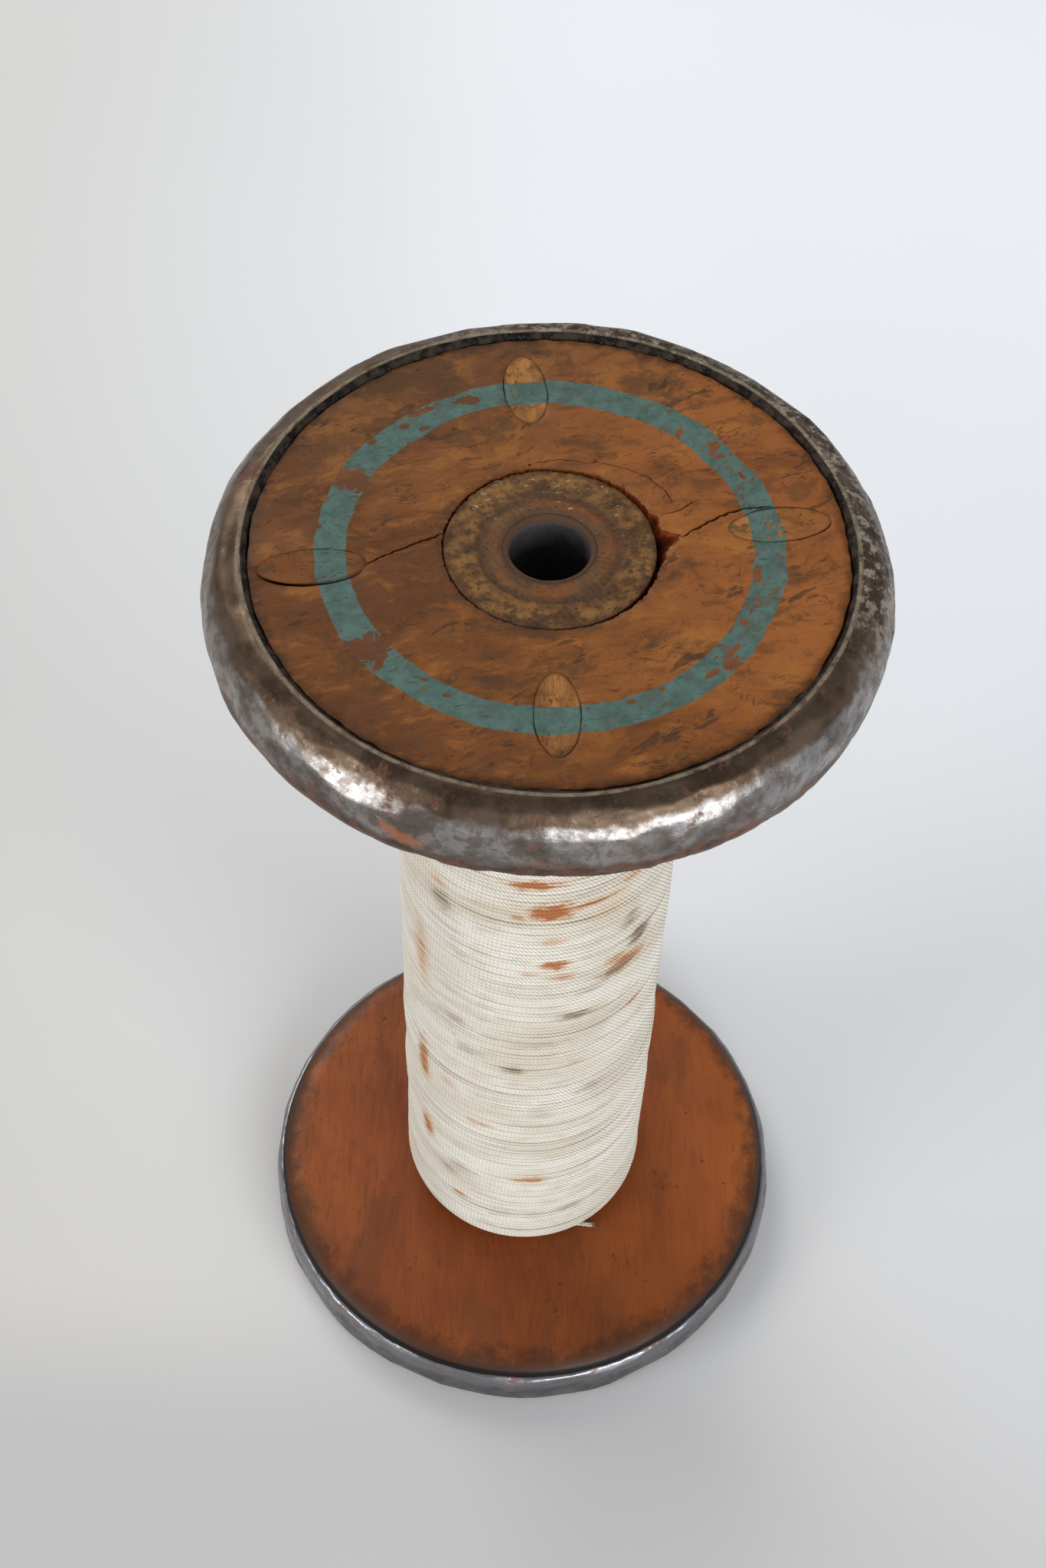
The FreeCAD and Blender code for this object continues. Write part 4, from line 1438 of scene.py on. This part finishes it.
def loose_end(material):
    """The short end of cord that comes out from under the winding, with a frayed tip."""
    middle = (LOOSE_LOW + LOOSE_HIGH) / 2
    root = np.array([LOOSE_LOW[0], middle[1], middle[2]])
    tip_x = LOOSE_HIGH[0]
    share = np.linspace(0, 1, 60)
    x = root[0] - 3.5 + share * (tip_x - root[0] + 3.5)
    path = np.column_stack([x, root[1] + 0.25 * np.sin(share * 3.0) - 0.1,
                            root[2] + 0.12 * np.sin(share * 4.0)])
    shape = Shape()
    travelled = x - x[0]
    uvs = []
    sides = 10
    corner = circle(sides)
    for strand in range(3):
        phase = 2 * math.pi * strand / 3 + 2 * math.pi * travelled / (3 * STRAND_PITCH)
        spread = 0.33 + 0.25 * smooth(share, 0.82, 1.0)
        centre = path + np.column_stack([phase * 0, spread * np.cos(phase), spread * np.sin(phase)])
        thick = 0.37 * (1 - 0.75 * smooth(share, 0.80, 1.0))
        ring = np.stack([np.zeros((60, sides)), thick[:, None] * np.cos(corner),
                         thick[:, None] * np.sin(corner)], axis=2)
        grid = centre[:, None, :] + ring
        numbers = shape.rings(grid, closed=False)
        shape.fan(numbers[0], grid[0].mean(axis=0))
        shape.fan(numbers[-1][::-1], grid[-1].mean(axis=0))
        uvs.append(cord_uv(travelled, sides))
    thing = shape.piece("loose_cord", material, None, uv=np.concatenate(uvs))
    thing.parent = None
    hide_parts("loose_cord_end")
    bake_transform(thing)
    return thing


# ---- Stage -----------------------------------------------------------------------------

def floor():
    """A pale floor with painted light and shade: a little warmer and darker on the left and in
    front, brighter towards the back.
    """
    mesh = bpy.data.meshes.new("floor")
    half = 60.0
    mesh.from_pydata([(-half, -half, 0), (half, -half, 0), (half, half, 0), (-half, half, 0)],
                     [], [(0, 1, 2, 3)])
    shader = Shader("pale_floor")
    # Painted light and shade: cooler and lighter towards the back and right, warmer and darker on
    # the left.
    side = shader.smooth(shader.x + shader.y * 0.6, -250.0, 700.0)
    back = shader.smooth(shader.y, -300.0, 520.0)
    left = shader.smooth(shader.x, -100.0, -320.0)
    tone = shader.mix(side, colour(204, 199, 193), colour(206, 208, 213))
    tone = shader.over(tone, left, 189, 185, 179)
    far = shader.mix(shader.smooth(shader.x, 20.0, -280.0),
                     colour(247, 249, 251), colour(224, 221, 217))
    tone = shader.mix(back, tone, far)
    # Painted shadow on the floor in front of the spool's base.
    front = shader.smooth(shader.y, -35.0, -88.0) * shader.smooth(shader.x, 95.0, 10.0)
    tone = shader.over(tone, front * 0.65, 183, 181, 180)
    tone = shader.over(tone, shader.smooth(shader.noise(300.0), 0.3, 0.7, 0.0, 0.10), 205, 205, 206)
    far_away = shader.smooth(shader.radius, 1700.0, 3300.0)
    mesh.materials.append(shader.finish(tone, 0.7, specular=0.1, faded=far_away))
    thing = bpy.data.objects.new("floor", mesh)
    bpy.context.scene.collection.objects.link(thing)


def lamp(name, place, aim, width, height, power, tint):
    """A soft rectangular lamp at place, facing aim. Both are in metres."""
    data = bpy.data.lights.new(name, "AREA")
    data.shape = "RECTANGLE"
    data.size = width
    data.size_y = height
    data.energy = power
    data.color = tint
    thing = bpy.data.objects.new(name, data)
    thing.location = place
    direction = Vector(aim) - Vector(place)
    thing.rotation_euler = direction.to_track_quat("-Z", "Y").to_euler()
    bpy.context.scene.collection.objects.link(thing)


def world():
    """A soft room: bright round the horizon and below it, dimmer and a little cooler overhead."""
    room = bpy.data.worlds.new("room")
    room.use_nodes = True
    nodes, links = room.node_tree.nodes, room.node_tree.links
    nodes.clear()
    where = nodes.new("ShaderNodeTexCoord").outputs["Generated"]
    axes = nodes.new("ShaderNodeSeparateXYZ")
    links.new(where, axes.inputs[0])
    ramp = nodes.new("ShaderNodeValToRGB")
    ramp.color_ramp.elements[0].position = 0.0
    ramp.color_ramp.elements[0].color = (0.86, 0.86, 0.87, 1)
    ramp.color_ramp.elements[1].position = 0.5
    ramp.color_ramp.elements[1].color = (0.34, 0.355, 0.375, 1)
    links.new(axes.outputs[2], ramp.inputs[0])
    background = nodes.new("ShaderNodeBackground")
    background.inputs["Strength"].default_value = 1.0
    links.new(ramp.outputs[0], background.inputs["Color"])
    output = nodes.new("ShaderNodeOutputWorld")
    links.new(background.outputs[0], output.inputs[0])
    bpy.context.scene.world = room


def camera():
    """The view from in front and above, with the lens slightly off centre."""
    yaw, pitch, roll = -0.0119, 0.9172, 0.0360
    forward = Vector((math.sin(yaw) * math.cos(pitch), math.cos(yaw) * math.cos(pitch),
                      -math.sin(pitch)))
    level = Vector((math.cos(yaw), -math.sin(yaw), 0))
    upright = level.cross(forward)
    right = level * math.cos(roll) + upright * math.sin(roll)
    up = upright * math.cos(roll) - level * math.sin(roll)
    data = bpy.data.cameras.new("camera")
    data.lens = 53.34
    data.sensor_width = 36
    data.shift_x = -0.0007
    data.shift_y = -0.0252
    thing = bpy.data.objects.new("camera", data)
    turn = Matrix((right, up, -forward)).transposed().to_4x4()
    thing.matrix_world = Matrix.Translation((0, -0.3128, 0.6108)) @ turn
    bpy.context.scene.collection.objects.link(thing)
    bpy.context.scene.camera = thing


def stage():
    """The floor, the room's light, three soft lamps and the camera."""
    floor()
    world()
    aim = (0, 0, 0.2)
    lamp("window_right", (1.05, -1.7, 0.95), aim, 1.7, 0.8, 35, (0.90, 0.95, 1.0))
    lamp("window_left", (-1.6, -0.9, 0.8), aim, 0.9, 0.6, 14, (0.96, 0.98, 1.0))
    lamp("window_back", (-1.3, 2.0, 2.2), aim, 1.8, 1.4, 38, (1.0, 0.985, 0.96))
    camera()
    bpy.context.scene.view_settings.view_transform = "Standard"


# ---- The whole spool -------------------------------------------------------------------

def give(node, material):
    """Gives a CAD node that stays as it is a better material."""
    slots = frame["nodes"][node].data.materials
    slots.clear()
    slots.append(material)


def spool():
    """Every piece of the spool, with its material."""
    smooth_plies = smooth_wood("head_wood_smooth", grain=GRAIN + 75)
    crossed = smooth_wood("head_wood_crossed", grain=GRAIN - 15)
    bush_metal = bush_steel("bush_steel_worn")
    winding = cord("cord_wound")
    for head in ("upper", "lower"):
        upper = head == "upper"
        face = end_face_wood("head_wood_painted" if upper else "head_wood_worn", painted=upper)
        pegs = dowel_wood("dowel_wood_" + head, painted=upper)
        outer_ply(head, face)
        give(head + "_middle_ply", crossed)
        give(head + "_inner_ply", smooth_plies)
        dowel_pegs(head, pegs)
        bush(head, bush_metal)
    upper_line = rim_centre_line(shoulder_width=7.9, shoulder_drop=11.5, wall_end=13.5, crimp=1.4,
                                 rim_depth=UPPER_RIM_DEPTH)
    lower_line = rim_centre_line(shoulder_width=4.5, shoulder_drop=2.6, wall_end=9.4, crimp=1.3,
                                 rim_depth=LOWER_RIM_DEPTH)
    upper_steel = rim_steel("rim_steel_upper", upper=True)
    steel_rim("upper", upper_steel, upper_line, crumpled=1.0, flats=UPPER_FLATS, seed=100)
    lower_steel = rim_steel("rim_steel_lower", upper=False)
    steel_rim("lower", lower_steel, lower_line, crumpled=0.6, flats=LOWER_FLATS, seed=120)
    barrel(barrel_wood("barrel_end_grain"))
    # The inner layers are darkened with painted shade, since they show only through gaps between
    # the outer rows.
    inner_layers(cord("cord_inner", painted_shade=0.65))
    cord_winding(winding)
    # The loose end is darkened slightly with painted shade.
    loose_end(cord("cord_loose", painted_shade=0.12))


spool()
stage()
